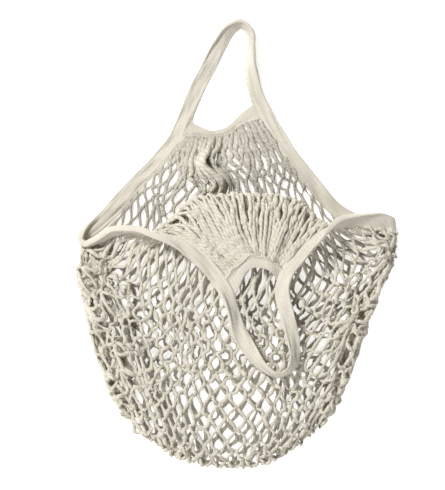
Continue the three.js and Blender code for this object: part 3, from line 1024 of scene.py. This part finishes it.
class CrowdRow(NamedTuple):
    """How the columns of the net are shared out across it, at the mouth and low down.

    Shares below 0 and over 1 are turned in at the sides.
    """

    column: float
    mouth: float
    low: float


class CutRow(NamedTuple):
    """Columns that the binding has cut off on each side of both panels, by stations up from the fold."""

    station: float
    front_left: float
    front_right: float
    back_left: float
    back_right: float


class RowPlace(NamedTuple):
    """The station at which a row of a panel lies."""

    row: float
    station: float


class SlumpRow(NamedTuple):
    """The slack bunch under the back gather: how far it sways, stands up and is drawn in."""

    station: float
    sway: float
    lift: float
    pinch: float


CROWD_TABLE: tuple[CrowdRow, ...] = (
    CrowdRow(0, -0.055, -0.06),
    CrowdRow(5, 0.008, -0.022),
    CrowdRow(8, 0.06, 0.01),
    CrowdRow(20, 0.275, 0.23),
    CrowdRow(32, 0.475, 0.455),
    CrowdRow(39, 0.66, 0.67),
    CrowdRow(46, 0.853, 0.89),
    CrowdRow(52, 0.97, 1.0),
    CrowdRow(58, 1.05, 1.07),
)
CUT_TABLE: tuple[CutRow, ...] = (
    CutRow(0, 0, 0, 0, 0),
    CutRow(13, 0, 0, 0, 0),
    CutRow(14, 0, 0, 0, 0),
    CutRow(18, 5.2, 4.4, 3.6, 4.8),
    CutRow(22, 9.3, 7.8, 7, 9.2),
    CutRow(25, 10.6, 9.4, 8.6, 11),
    CutRow(28, 11.2, 10.4, 10, 12),
)
FRONT_ROW_TABLE: tuple[RowPlace, ...] = (
    RowPlace(0, 0),
    RowPlace(9.5, 9),
    RowPlace(16.5, 15.5),
    RowPlace(21.3, 22.5),
    RowPlace(28, 28),
)
BACK_ROW_TABLE: tuple[RowPlace, ...] = (
    RowPlace(0, 0),
    RowPlace(9.5, 9),
    RowPlace(16.5, 15.6),
    RowPlace(18.8, 18.6),
    RowPlace(22.4, 22.2),
    RowPlace(26.0, 25.3),
    RowPlace(30, 28),
)
SLUMP_TABLE: tuple[SlumpRow, ...] = (
    SlumpRow(22.5, 0, 0, 0),
    SlumpRow(23.3, 3, 3, 0.1),
    SlumpRow(24, 7, 6, 0.25),
    SlumpRow(24.5, 9, 9, 0.4),
    SlumpRow(25, 6, 12, 0.5),
    SlumpRow(25.5, -4, 14, 0.55),
    SlumpRow(26, -13, 15, 0.6),
    SlumpRow(26.4, -15, 15, 0.55),
    SlumpRow(26.9, -11, 11, 0.45),
    SlumpRow(27.4, -5, 6, 0.25),
    SlumpRow(28, 0, 0, 0),
)


@dataclass
class NetLattice:
    """Where the chains of yarn run through the net, by columns and rows.

    Chain k swings between column k and column k + 1 once in two rows, and lies beside its neighbour there,
    which makes a joint. Above the corners of the mouth the binding cuts the outer chains off one by one.
    """

    form: NetForm
    front_rows: int = 28
    back_rows: int = 30
    chains: int = 58
    radius: float = 2.05
    sharp: float = 0.75
    low_to_mouth: Span = (4, 12)
    mouth_to_even: Span = (12.5, 20)
    back_lean: float = 1.04
    left_side: Span = (0.08, 0.30)
    seam_strip: Span = (0.01, 0.06)
    back_mouth: Span = (15, 18)
    flap_drawn: Span = (22, 24.5)
    rest: float = 0.12
    left_unrest: float = 0.55
    right_unrest: float = 0.40
    low_unrest: float = 0.45
    flap_unrest: float = 0.2
    flap_calm: float = 0.7
    back_calm: float = 0.5
    least_column: float = 0.5
    beside: float = 0.62
    beside_limits: Span = (0.05, 0.40)
    back_beside: float = 0.5
    fold_draw: float = 0.4
    flap_draw: float = 0.55
    side_swing: float = 0.9
    seam_swing: float = 0.4
    cluster_chains: float = 3.3
    cluster_wander: float = 0.4
    cluster_lean: float = 0.5
    back_cluster: float = 1.1
    flap_cluster: float = 0.45
    joint_lift: float = 0.55
    joint_power: int = 4
    fine_unevenness: float = 0.6
    rim_offset: float = 0.8

    def __post_init__(self) -> None:
        """Fits the tables."""
        tables = (CROWD_TABLE, CUT_TABLE, FRONT_ROW_TABLE, BACK_ROW_TABLE)
        self.crowd, self.cut, self.front_place, self.back_place = map(SmoothCurve.through, tables)

    def rows(self, samples: int) -> Array:
        """Rows of so many samples to a row, from the back gather to the front gather."""
        return np.linspace(-self.back_rows, self.front_rows, (self.back_rows + self.front_rows) * samples + 1)

    def place(self, column: Array, row: Array) -> tuple[Array, Array, Array]:
        """Where columns and rows lie in the net.

        Args:
            column: Columns.
            row: Rows, of a shape that goes with it.

        Returns:
            The part across between the cuts, the spread across, which is below 0 or over 1 where the net is
            turned in at a side, and the station.
        """
        front = self.front_place(np.clip(row, 0, self.front_rows))[..., 0]
        back = -self.back_place(np.clip(-row, 0, self.back_rows))[..., 0]
        station = np.where(row > 0, front, back)
        up = np.abs(station)
        cuts = np.maximum(self.cut(up), 0)
        cut = np.where(station[..., None] > 0, cuts[..., :2], cuts[..., 2:])
        part = (column - cut[..., 0]) / (self.chains - cut[..., 0] - cut[..., 1])
        between = np.clip(part, 0, 1)
        mouth, low = np.moveaxis(self.crowd(between * self.chains), -1, 0)
        crowded = low + rise(*self.low_to_mouth, up) * (mouth - low)
        even = np.where(station < 0, 1 - (1 - between) ** self.back_lean, between)
        return part, crowded + rise(*self.mouth_to_even, up) * (even - crowded), station

    @staticmethod
    def fold(spread: Array) -> Array:
        """The share at which a spread lies, folded back at both sides."""
        return 1 - np.abs(1 - np.abs(spread))

    def unrest(self, share: Array, up: Array) -> Array:
        """How unruly the net is: least in the middle, most along the left side.

        Args:
            share: Shares.
            up: Stations up from the bottom fold.

        Returns:
            Weights, from the one at rest up.
        """
        sides = self.left_unrest * fall(*self.left_side, share) + self.right_unrest * rise(0.72, 0.90, share)
        tall = at_least(self.low_unrest, rise(4, 9, up)) * fall(14, 18, up)
        return self.rest + sides * tall + self.flap_unrest * band((20, 22), (24, 26), up)

    def calm(self, row: Array) -> Array:
        """How uneven the strands stay towards the gathers, where they are drawn straight."""
        return 1 - self.flap_calm * rise(*self.flap_drawn, row) - self.back_calm * rise(24, 27, -row)

    def width(self, chain: Array, row: Array) -> Array:
        """How far the chains swing.

        They stop beside their neighbours, half a column out less the room that a yarn takes. They swing wider
        along the loose sides, and less over the fold of the flap, on the flap and at the seams.

        Args:
            chain: Numbers of the chains.
            row: Rows.

        Returns:
            Swings in columns.
        """
        part, spread, station = self.place(chain + 0.5, row)
        step = self.place(chain + 1.0, row)[1] - self.place(chain + 0.0, row)[1]
        across = self.fold(spread)
        over, _, _ = self.form.frame(across, station)
        column = np.maximum(np.linalg.norm(over, axis=-1) * step, self.least_column)
        beside = np.clip(self.beside * self.radius / column, *self.beside_limits)
        beside = beside * (1 - self.back_beside * rise(*self.back_mouth, -row))
        edge = np.minimum(part, 1 - part)
        drawn = self.fold_draw * rise(21.5, 23, row) + self.flap_draw * rise(23, 25.5, row)
        close = 1 - drawn * rise(0.04, 0.16, edge)
        loose = (fall(*self.left_side, across) + rise(0.70, 0.86, across)) * fall(10, 14, np.abs(row))
        seam = at_least(self.seam_swing, rise(*self.seam_strip, edge))
        wide = close * (1 + self.side_swing * loose) * np.where(np.abs(row) < self.form.seam_top, seam, 1)
        return (0.5 - beside) * wide

    def cluster(self, chain: Array, row: Array) -> Array:
        """How far chains lean together towards the gathers: a wave over about three chains, of uneven length.

        Args:
            chain: Numbers of the chains.
            row: Rows.

        Returns:
            Shifts in columns.
        """
        wander = Ripples(Seed.CLUSTERS, waves=6, longest=20, shortest=7)(chain, 0 * row)[..., 0]
        lean = self.cluster_lean * np.sin(TURN * (chain / self.cluster_chains + self.cluster_wander * wander))
        return lean * (self.back_cluster * rise(23.5, 28, -row) + self.flap_cluster * rise(20, 25, row))

    def lift(self, chain: Array, row: Array, swing: Array) -> Array:
        """How far chains stand out of the net at their joints, one over the other as drawn for each joint.

        Args:
            chain: Numbers of the chains.
            row: Rows.
            swing: How far they have swung, from -1 to 1.

        Returns:
            Lifts in millimetres.
        """
        joints = (self.chains + 1, self.back_rows + self.front_rows + 2)
        order = np.where(Seed.JOINTS.draw().random(joints) < 0.5, -1.0, 1.0)
        joint = np.rint(row).astype(int) + self.back_rows
        sign = np.where(chain % 2 == 0, 1.0, -1.0) * order[chain + (swing > 0), joint]
        return sign * self.joint_lift * self.radius * np.abs(swing) ** self.joint_power * self.calm(row)

    def offset(self, share: Array, row: Array) -> Array:
        """How far the back's rows are moved in between the front's: at the sides, the rim and the mouth.

        Args:
            share: Shares.
            row: Rows.

        Returns:
            Shifts in rows.
        """
        down = -row
        left = fall(0.14, 0.30, share) * fall(13, 17, down)
        right = rise(0.66, 0.80, share) * fall(17.5, 21, down)
        rim = self.rim_offset * band((0, 1.5), (3.5, 6.5), down)
        mouth = band((0.44, 0.50), (0.62, 0.68), share) * band((12.5, 14), (18, 20), down)
        between = np.maximum((left + right) * rise(0, 2, down), np.maximum(rim, mouth))
        return np.where(row < 0, between, 0)

    def run(self, rows: Array) -> tuple[Array, Array, Array]:
        """Works out where the chains run: a zigzag with a slightly rounded turn at each joint, made uneven.

        Args:
            rows: Rows of the samples.

        Returns:
            Columns, rows and lifts out of the net, each of shape chains, places.
        """
        chain = np.arange(self.chains)[:, None]
        row = np.broadcast_to(rows, (self.chains, len(rows)))
        swing = np.arcsin(-self.sharp * np.cos(math.pi * (row + chain))) / math.asin(self.sharp)
        column = chain + 0.5 + self.width(chain, row) * swing + self.cluster(chain, row)
        part, spread, station = self.place(column, row)
        share = self.fold(spread)
        ends = np.where(row < 0, self.back_rows, self.front_rows) - np.abs(row)
        rough = inside(0.07, part) * rise(0, 3, ends) * self.unrest(share, np.abs(station))
        wide = Ripples(Seed.UNEVEN_WIDE, waves=14, longest=18, shortest=5, width=2)(column, np.abs(row))
        fine = Ripples(Seed.UNEVEN_FINE, waves=14, longest=8, shortest=3, width=2)(column, row)
        moved = rough[..., None] * (wide + self.fine_unevenness * fine)
        placed = row + moved[..., 1] + self.offset(share, row)
        return column + moved[..., 0], placed, self.lift(chain, row, swing)


@dataclass
class NetFolds:
    """The large folds of the net: the bunch under the back gather, pleats, furrows and hollows."""

    bunch_middle: float = 0.45
    bunch_reach: float = 0.22
    right_pleats: float = 0.8
    pleat_columns: float = 5.0
    pleat_wander: float = 0.22
    pleat_stretch: float = 0.3
    pleat_shift: float = 0.014
    pleat_height: float = 6.0
    pleat_rise: float = 0.5
    furrow_columns: float = 6.5
    furrow_wander: float = 0.3
    furrow_stretch: float = 0.5
    furrow_height: float = 2.2
    furrow_end: float = 0.6
    hollow_depth: float = 9.0

    def __post_init__(self) -> None:
        """Fits the table of the bunch."""
        self.slump = SmoothCurve.through(SLUMP_TABLE)

    def bunch(self, share: Array, station: Array) -> tuple[Array, Array, Array]:
        """Draws the net under the back gather into its slack bunch.

        Args:
            share: Shares.
            station: Stations.

        Returns:
            The drawn shares, and how far the bunch sways and stands up.
        """
        reach = (SLUMP_TABLE[0].station, SLUMP_TABLE[-1].station)
        sway, lift, pinch = np.moveaxis(self.slump(np.clip(-station, *reach)), -1, 0)
        near = bell(self.bunch_middle, self.bunch_reach, share)
        drawn = share - pinch * near * (share - self.bunch_middle)
        return drawn, sway * near, lift * near

    def pleats(self, column: Array, share: Array, station: Array) -> tuple[Array, Array]:
        """Folds the net along its sides into loose pleats, a wave across it with a wave out of it.

        Args:
            column: Columns.
            share: Shares.
            station: Stations.

        Returns:
            Shifts of the share, and lifts out of the net.
        """
        left = fall(0.05, 0.24, share) * rise(0, 0.03, share)
        right = self.right_pleats * rise(0.78, 0.92, share) * rise(0, 0.03, 1 - share)
        uneven = Ripples(Seed.PLEATS, waves=8, longest=14, shortest=6)
        wander = uneven(self.pleat_stretch * column, station)[..., 0]
        phase = TURN * (column / self.pleat_columns + self.pleat_wander * wander)
        size = (left + right) * fall(13, 17, np.abs(station))
        return (
            self.pleat_shift * size * np.sin(phase),
            self.pleat_height * size * (self.pleat_rise + np.cos(phase)),
        )

    def furrows(self, column: Array, row: Array) -> Array:
        """Soft folds of the flap that run to its gather: a wave across it, of uneven length.

        Args:
            column: Columns.
            row: Rows.

        Returns:
            Lifts in millimetres.
        """
        uneven = Ripples(Seed.FURROWS, waves=6, longest=24, shortest=9)
        wander = uneven(column, self.furrow_stretch * row)[..., 0]
        tall = rise(21.5, 25, row) * (1 - self.furrow_end * rise(26, 28, row))
        wave = np.sin(TURN * (column / self.furrow_columns + self.furrow_wander * wander))
        return self.furrow_height * tall * wave

    def hollow(self, share: Array, station: Array) -> Array:
        """How far the front net sinks below the binding on both sides of the flap.

        Args:
            share: Shares.
            station: Stations.

        Returns:
            Depths in millimetres.
        """
        left = band((0.02, 0.10), (0.22, 0.42), share) * band((7, 11), (13.5, 17), station)
        right = band((0.62, 0.78), (0.90, 0.98), share) * band((8, 12), (17.5, 21), station)
        return self.hollow_depth * (left + right)


@dataclass
class NetYarns:
    """The net's yarns: zigzag chains that run up the net, each joined to its two neighbours by turns."""

    lattice: NetLattice
    folds: NetFolds
    finish: bpy.types.Material
    samples: int = 14
    sides: int = 8
    lumps: float = 0.19
    stitch: float = 3.4
    twist_reach: float = 20.0
    strand: float = 17.5
    loose_strand: float = 9.0
    low_station: float = 5.0
    bow: float = 4.6
    bow_turn: float = 0.9
    top_bow: float = 0.75
    seam_bow: float = 0.3
    arc: float = 0.6
    curl: float = 1.2
    curl_unrest: float = 0.15
    curl_span: float = 0.5
    curl_depth: float = 0.7
    knot: float = 0.12
    knot_power: int = 8
    flap_full: float = 0.2
    back_full: float = 0.5
    mouth_thin: float = 0.16
    ropes: float = 0.75
    turned_height: float = 9.0
    turned_spread: float = 0.05
    least_places: int = 3
    flat_width: float = 0.42
    flat_row: float = 0.0155
    least_area: float = 0.3

    def halfway(self, values: Array) -> Array:
        """The mean of values at both ends of each strand."""
        ends = values[:, :: self.samples]
        return (ends[:, 1:] + ends[:, :-1]) / 2

    def slack(self, point: Array, normal: Array, share: Array, station: Array) -> Array:
        """Bows each strand by the length that it has to spare.

        A strand whose ends are closer together than its own length bows out between them by a squared sine.
        The height of the bow is that of a shallow arc, about 0.6 times the root of the span times the spare
        length. Where the net is unruly, each strand also curls: one turn of a circle, fading out at both
        joints.

        Args:
            point: Middle lines.
            normal: Outward normals.
            share: Shares. The strands are longer at the sides, where the net is worn loose.
            station: Stations.

        Returns:
            The bowed middle lines.
        """
        draw, lattice = Seed.BOWS.draw(), self.lattice
        span = np.linalg.norm(np.diff(point[:, :: self.samples], axis=1), axis=-1)
        middle, up = self.halfway(share), np.abs(self.halfway(station))
        longer = self.loose_strand * (lattice.unrest(middle, np.maximum(up, self.low_station)) - lattice.rest)
        spare = np.clip(self.strand + longer - span, 0, None)
        seam = at_least(self.seam_bow, rise(*lattice.seam_strip, np.minimum(middle, 1 - middle)))
        most = self.bow * (1 - self.top_bow * rise(14, 19, up)) * seam
        height = np.minimum(self.arc * np.sqrt(span * spare), most)
        wild = np.clip((lattice.unrest(middle, up) - self.curl_unrest) / self.curl_span, 0, 1)
        turn = draw.normal(0, self.bow_turn, span.shape)
        begin = draw.random(span.shape) * TURN

        count = np.arange(point.shape[1])
        strand = np.minimum(count // self.samples, span.shape[1] - 1)
        part = (count % self.samples) / self.samples
        along = unit(np.gradient(point, axis=1))
        outward = np.where(lattice.rows(self.samples)[:, None] < 0, -normal, normal)
        beside = unit(np.cross(along, outward))
        bow = height[:, strand] * np.sin(math.pi * part) ** 2
        size = self.curl * wild[:, strand] * np.sin(math.pi * part)
        angle = TURN * part + begin[:, strand]
        out = bow * np.abs(np.cos(turn))[:, strand] + self.curl_depth * size * np.cos(angle)
        aside = bow * np.sin(turn)[:, strand] + size * np.sin(angle)
        return point + out[..., None] * outward + aside[..., None] * beside

    def path(self) -> tuple[Array, Array, Array]:
        """Works out the middle lines of all chains.

        Returns:
            Points of shape chains, places, 3, outward normals, and which places are in the net.
        """
        lattice, folds = self.lattice, self.folds
        column, row, lift = lattice.run(lattice.rows(self.samples))
        part, spread, station = lattice.place(column, row)
        share = lattice.fold(spread)
        turned = rise(0, self.turned_spread, np.maximum(-spread, spread - 1))
        drawn, sway, stand = folds.bunch(share, station)
        shift, pleat = folds.pleats(column, share, station)
        back = station[..., None] < 0
        share = np.clip(np.where(station < 0, drawn, share) + shift, 0, 1)
        _, _, normal = lattice.form.frame(share, station)
        point = lattice.form.point(share, station) + normal * lift[..., None]
        point = point + np.where(back, -normal, normal) * pleat[..., None]
        ropes = Seed.BUNCH.draw().random((lattice.chains, 1)) * 2 - 1
        bunch = np.stack([sway, 0 * sway, stand * (1 + self.ropes * ropes)], axis=-1)
        point = point + np.where(back, bunch, 0)
        point[..., 2] += folds.furrows(column, row) - folds.hollow(share, station)
        point[..., 2] += turned * (self.turned_height - point[..., 2])
        point = self.slack(point, normal, share, station)
        point[..., 2] = np.maximum(point[..., 2], lattice.radius)
        return point, normal, (part > 0) & (part < 1)

    def fullness(self, row: Array) -> Array:
        """How thick the yarns are: full on the flap and under the back gather, thin at the mouth, with knots.

        Args:
            row: Rows.

        Returns:
            Thicknesses in radii.
        """
        thin = self.mouth_thin * band(self.lattice.back_mouth, (21, 24), -row)
        full = 1 + self.flap_full * rise(19, 23, row) + self.back_full * rise(24, 27.5, -row) - thin
        knots = self.knot * np.cos(math.pi * row) ** self.knot_power
        return full + knots * fall(*self.lattice.flap_drawn, row)

    def rings(self, point: Array, normal: Array) -> tuple[Array, Array]:
        """Carries a round section along the chains, with lumps: a wave of a stitch's length and slower ones.

        Args:
            point: Middle lines.
            normal: Outward normals of the net along them.

        Returns:
            Rings of points above the ground, and lengths along the chains from places drawn at random.
        """
        along = unit(np.gradient(point, axis=1))
        beside = unit(np.cross(along, normal))
        above = np.cross(beside, along)
        angle = np.arange(self.sides) * TURN / self.sides
        ring = np.cos(angle)[:, None] * above[..., None, :] + np.sin(angle)[:, None] * beside[..., None, :]
        length = path_length(point)
        start = Seed.TWIST.draw().random((len(point), 1)) * self.twist_reach
        slow = Ripples(Seed.LUMPS, waves=6, longest=30, shortest=8)(length, start)[..., 0]
        lump = np.sin(TURN * (length + start) / self.stitch) + slow
        row = self.lattice.rows(self.samples)
        uneven = 1 + self.lumps * self.lattice.calm(row) * lump
        thick = self.lattice.radius * uneven * self.fullness(row)
        rings = point[..., None, :] + thick[..., None, None] * ring
        rings[..., 2] = np.maximum(rings[..., 2], 0)
        return rings, length + start

    def stretch(self, panel: Panel, rings: Array, length: Array, kept: Array) -> bpy.types.Object:
        """Args:
            panel: Which stretch it is.
            rings: Rings of points along all chains.
            length: Lengths along them.
            kept: Which places are in the net.

        Returns:
            The new piece.
        """
        rows = self.lattice.rows(self.samples)
        first, last = (int(np.argmin(np.abs(rows - row))) for row in panel.value)
        part = slice(first, last + 1)
        parts = MeshParts()
        for ring, along, keep in zip(rings[:, part], length[:, part], kept[:, part]):
            places = np.flatnonzero(keep)
            if len(places) >= self.least_places:
                chain = slice(places[0], places[-1] + 1)
                parts.add_tubes(ring[None, chain], along[None, chain])
        piece = parts.build(f"net_{panel.name.lower()}", self.finish)
        declare(piece, "net_body")
        return piece

    def build(self) -> list[bpy.types.Object]:
        """Makes the stretches of the net.

        Returns:
            The new pieces, from the back gather to the front gather.
        """
        point, normal, kept = self.path()
        rings, length = self.rings(point, normal)
        return [self.stretch(panel, rings, length, kept) for panel in Panel]


def flat_oval(sides: int) -> tuple[Array, Array]:
    """A flat oval section: the cosine and the sine of the angle, drawn out to the edges by low powers.

    Args:
        sides: Number of points round it.

    Returns:
        Places across and heights, both from -1 to 1.
    """
    wide, tall = 0.6, 0.5
    angle = np.arange(sides) * TURN / sides
    across, height = np.cos(angle), np.sin(angle)
    return np.sign(across) * np.abs(across) ** wide, np.sign(height) * np.abs(height) ** tall


def rib_wave(count: int) -> Array:
    """The ribs along a tape's mesh: a sine of the place, one wave for each rib."""
    return np.sin(TURN * np.arange(count) / RIB_STEPS)


def sweep(path: tuple[Array, Array, Array], across: Array, height: Array) -> Array:
    """Carries a section along a path, above the ground.

    Args:
        path: Middle points, directions across and directions out of the face.
        across: Places across of the section's points, for each middle point.
        height: Their heights.

    Returns:
        Rings of points, of shape places, sides, 3.
    """
    middle, side, face = (rows[:, None, :] for rows in path)
    points = middle + side * across[..., None] + face * height[..., None]
    points[..., 2] = np.maximum(points[..., 2], 0)
    return points


def tape_mesh(name: str, finish: bpy.types.Material, points: Array, closed: bool) -> bpy.types.Object:
    """Makes a tape from its rings of points, with lengths that are in step with its ribs."""
    parts = MeshParts()
    parts.add_tubes(points[None], np.arange(len(points))[None] * RIB_PITCH / RIB_STEPS, closed)
    return parts.build(name, finish)


@dataclass
class LoopTape:
    """The loop of folded rib-knit tape that binds the mouth and makes both handles."""

    route: TapeRoute
    finish: bpy.types.Material
    name: str = "tape_loop"
    node: str = "loop_tape"
    sides: int = 36
    thickness: float = 3.0
    swelling: float = 2.0
    rolling: float = 4.6
    arch: float = 0.6
    ridge: float = 0.14
    ridge_count: float = 4.5
    furrow: float = 0.45
    furrow_place: float = -0.30
    furrow_reach: float = 0.09
    rib: float = 0.13
    rib_change: float = 0.3
    rib_width: float = 0.5
    width_change: float = 0.03
    sway: float = 0.3
    crease: float = 0.75
    crease_stretch: float = 0.25

    def roll(self, place: Array) -> Array:
        """How far the folded edge is rolled: most along the front of the mouth, near its two corners.

        Args:
            place: Lengths along the loop.

        Returns:
            Weights from 0 to 1.
        """
        length, marks = self.route.length, self.route.marks
        left = np.mod(place - marks[Mark.CORNER_LEFT] + length / 2, length) - length / 2
        right = place - marks[Mark.CORNER_RIGHT]
        return band((-150, -105), (5, 45), left) + band((10, 40), (70, 120), right)

    def section(self, roll: Array) -> tuple[Array, Array]:
        """The closed section of the folded tape.

        A flat oval that swells to the folded edge, away from the net, with soft ridges and a stitched furrow
        along both faces. Where the edge is rolled, the whole section is also arched.

        Args:
            roll: How far the edge is rolled at each place.

        Returns:
            Places across in half widths, and heights in millimetres for each place.
        """
        across, height = flat_oval(self.sides)
        swell = rise(0.30, 0.95, -across) * (self.swelling + self.rolling * roll[:, None])
        furrow = self.furrow * bell(self.furrow_place, self.furrow_reach, across)
        ridges = 1 + self.ridge * np.cos(across * math.pi * self.ridge_count)
        arch = self.arch * roll[:, None] * (1 - across**2)
        return across, height * ((self.thickness + swell) / 2 * ridges - furrow) + arch

    def build(self) -> bpy.types.Object:
        """Makes the loop as its section carried along the route, with ribs, creases and uneven widths.

        Returns:
            The new piece.
        """
        count = RIB_STEPS * round(self.route.length / RIB_PITCH)
        place = np.arange(count) * self.route.length / count
        middle, side, face = self.route.frame(place)
        waves = Ripples(Seed.LOOP_WAVES, waves=10, longest=120, shortest=35, width=3)(place, 0 * place)
        widths, sways, ribs = np.moveaxis(waves, -1, 0)
        across, height = self.section(self.roll(place))
        rib = self.rib * (1 + self.rib_change * ribs) * rib_wave(count)
        crumple = Ripples(Seed.CREASES, waves=14, longest=20, shortest=6)
        creases = crumple(self.crease_stretch * place[:, None], self.route.half * across[None])[..., 0]
        faces = 1 - across**4
        height = height + rib[:, None] * np.sign(height) * faces + self.crease * creases * faces
        half = self.route.half * (1 + self.width_change * widths) + self.rib_width * rib
        middle = middle + self.sway * side * sways[:, None]
        points = sweep((middle, side, face), half[:, None] * across, height)
        piece = tape_mesh(self.name, self.finish, points, closed=True)
        declare(piece, self.node)
        return piece


@dataclass
class GatherTape:
    """A short tape across the foot of a handle, with the net gathered under it."""

    name: str
    node: str
    route: GatherRoute
    finish: bpy.types.Material
    sides: int = 40
    rough_steps: int = 40
    thickness: float = 2.2
    edge: float = 2.3
    edge_place: float = 0.82
    edge_reach: float = 0.15
    furrow: float = 0.7
    furrow_place: float = 0.42
    furrow_reach: float = 0.13
    rib: float = 0.07
    wave_width: float = 1.5
    wave_height: float = 0.8
    sewn_end: float = 8.0

    def build(self) -> bpy.types.Object:
        """Makes the tape as a flat oval carried from end to end, with a rolled and wavy edge on the net.

        Returns:
            The new piece.
        """
        rough = self.route.frame(np.linspace(0, 1, self.rough_steps))[0]
        count = RIB_STEPS * round(float(path_length(rough)[-1]) / RIB_PITCH) + 1
        middle, side, face, half = self.route.frame(np.linspace(0, 1, count))
        along = path_length(middle)
        across, height = flat_oval(self.sides)
        swell = self.edge * bell(self.edge_place, self.edge_reach, across)
        swell = swell - self.furrow * bell(self.furrow_place, self.furrow_reach, across)
        height = height * (self.thickness / 2 + swell + self.rib * rib_wave(count)[:, None])
        free = rise(0, self.sewn_end, along) * rise(0, self.sewn_end, along[-1] - along)
        waves = Ripples(Seed.GATHER_WAVES, waves=8, longest=34, shortest=11)(along, 0 * along)
        wavy = waves * free[:, None] * rise(0.2, 0.9, across)
        wide = half[:, None] * across + self.wave_width * wavy
        points = sweep((middle, side, face), wide, height + self.wave_height * wavy)
        piece = tape_mesh(self.name, self.finish, points, closed=False)
        declare(piece, self.node)
        return piece


class Lamp(NamedTuple):
    """A square soft light: its place and side in metres, and its power in watts."""

    name: str
    place: tuple[float, float, float]
    size: float
    power: float


@dataclass
class Studio:
    """The pale floor, the soft lights and the camera straight above the bag, in metres."""

    lamps: tuple[Lamp, ...] = (
        Lamp("key", (-2.1, 2.4, 3.2), 1.2, 243.0),
        Lamp("fill", (-0.5, -3.0, 2.6), 2.0, 90.0),
    )
    surroundings: float = 0.05
    floor_radius: float = 7.0
    floor_bend: float = 1.0
    floor_border: float = 1.5
    floor_lines: int = 35
    floor_rim: float = 1.2
    floor_drop: float = 0.0004
    floor_colour: Colour = (0.93, 0.93, 0.92)
    floor_glow: Colour = (1.0, 1.0, 0.99)
    floor_glow_strength: float = 0.6
    floor_roughness: float = 0.9
    distance: float = 5.0
    true_height: float = 0.02
    sensor: float = 36.0
    clip_end: float = 50.0

    def floor(self) -> None:
        """A plain pale floor, lit a little from inside like a light table.

        It is a square grid, flat inside a circle and raised outside it by an eased step, so that low views
        end in it.
        """
        reach = self.floor_radius + self.floor_border
        steps = np.linspace(-reach, reach, self.floor_lines)
        x, y = np.meshgrid(steps, steps)
        bend = (self.floor_radius - self.floor_bend, self.floor_radius + self.floor_bend)
        z = self.floor_rim * rise(*bend, np.hypot(x, y))
        index = np.arange(x.size).reshape(x.shape)
        corners = [index[:-1, :-1], index[:-1, 1:], index[1:, 1:], index[1:, :-1]]
        faces = np.stack(corners, axis=-1).reshape(-1, 4)
        mesh = bpy.data.meshes.new("floor")
        mesh.from_pydata(np.stack([x, y, z], axis=-1).reshape(-1, 3).tolist(), [], faces.tolist())
        tree = NodeTree("pale_floor")
        tree.shade(
            {
                "Base Color": (*self.floor_colour, 1),
                "Roughness": self.floor_roughness,
                "Emission Color": (*self.floor_glow, 1),
                "Emission Strength": self.floor_glow_strength,
            }
        )
        mesh.materials.append(tree.material)
        floor = bpy.data.objects.new("floor", mesh)
        floor.location.z = -self.floor_drop
        bpy.context.scene.collection.objects.link(floor)

    def light(self, lamp: Lamp) -> None:
        """Sets up a light that faces the bag.

        Args:
            lamp: What it is like.
        """
        data = bpy.data.lights.new(lamp.name, "AREA")
        data.shape = "SQUARE"
        data.size = lamp.size
        data.energy = lamp.power
        light = bpy.data.objects.new(lamp.name, data)
        x, y, z = lamp.place
        light.location = lamp.place
        light.rotation_euler = (math.atan2(math.hypot(x, y), z), 0.0, math.atan2(x, -y))
        bpy.context.scene.collection.objects.link(light)

    def surround(self) -> None:
        """A weak white light from all sides."""
        world = bpy.data.worlds.new("surroundings")
        bpy.context.scene.world = world
        world.use_nodes = True
        background = next(node for node in world.node_tree.nodes if node.type == "BACKGROUND")
        background.inputs["Color"].default_value = (1, 1, 1, 1)
        background.inputs["Strength"].default_value = self.surroundings

    def camera(self) -> None:
        """A long lens straight above, with the photograph's frame at a height inside the bag."""
        data = bpy.data.cameras.new("camera")
        data.sensor_width = self.sensor
        data.lens = self.sensor * (self.distance - self.true_height) / (IMAGE_SIZE[1] * PHOTO_SCALE * MM)
        data.clip_end = self.clip_end
        camera = bpy.data.objects.new("camera", data)
        x = (IMAGE_SIZE[0] / 2 - PHOTO_CENTRE[0]) * PHOTO_SCALE
        y = (PHOTO_CENTRE[1] - IMAGE_SIZE[1] / 2) * PHOTO_SCALE
        camera.location = ((x - BOX_MIDDLE[0]) * MM, (y - BOX_MIDDLE[1]) * MM, self.distance)
        bpy.context.scene.collection.objects.link(camera)
        bpy.context.scene.camera = camera

    def build(self) -> None:
        """Sets up the floor, the lights and the camera."""
        self.floor()
        for lamp in self.lamps:
            self.light(lamp)
        self.surround()
        bpy.context.scene.view_settings.view_transform = "Standard"
        self.camera()


def main() -> None:
    """Builds the bag and its setting, and reports its pieces."""
    logging.basicConfig(level=logging.INFO, format="%(name)s: %(message)s")
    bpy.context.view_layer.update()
    loop = TapeRoute(LOOP_TABLE)
    back_ends = (Mark.BACK_GATHER_LEFT, Mark.BACK_GATHER_RIGHT)
    front_ends = (Mark.FRONT_GATHER_LEFT, Mark.FRONT_GATHER_RIGHT)
    back = GatherRoute(loop, BACK_GATHER_TABLE, back_ends, Run.UP, reach=(22, 22))
    front = GatherRoute(loop, FRONT_GATHER_TABLE, front_ends, Run.DOWN, reach=(27, 17))
    lattice = NetLattice(NetForm(loop, back, front))
    tape = KnitTape().material()
    Studio().build()
    pieces = [
        LoopTape(loop, tape).build(),
        GatherTape("tape_back_gather", "back_gather_tape", back, tape).build(),
        GatherTape("tape_front_gather", "front_gather_tape", front, tape).build(),
        *NetYarns(lattice, NetFolds(), CottonYarn().material()).build(),
    ]
    for piece in pieces:
        LOG.info("%s: %d faces", piece.name, len(piece.data.polygons))


if __name__ == "__main__":
    main()
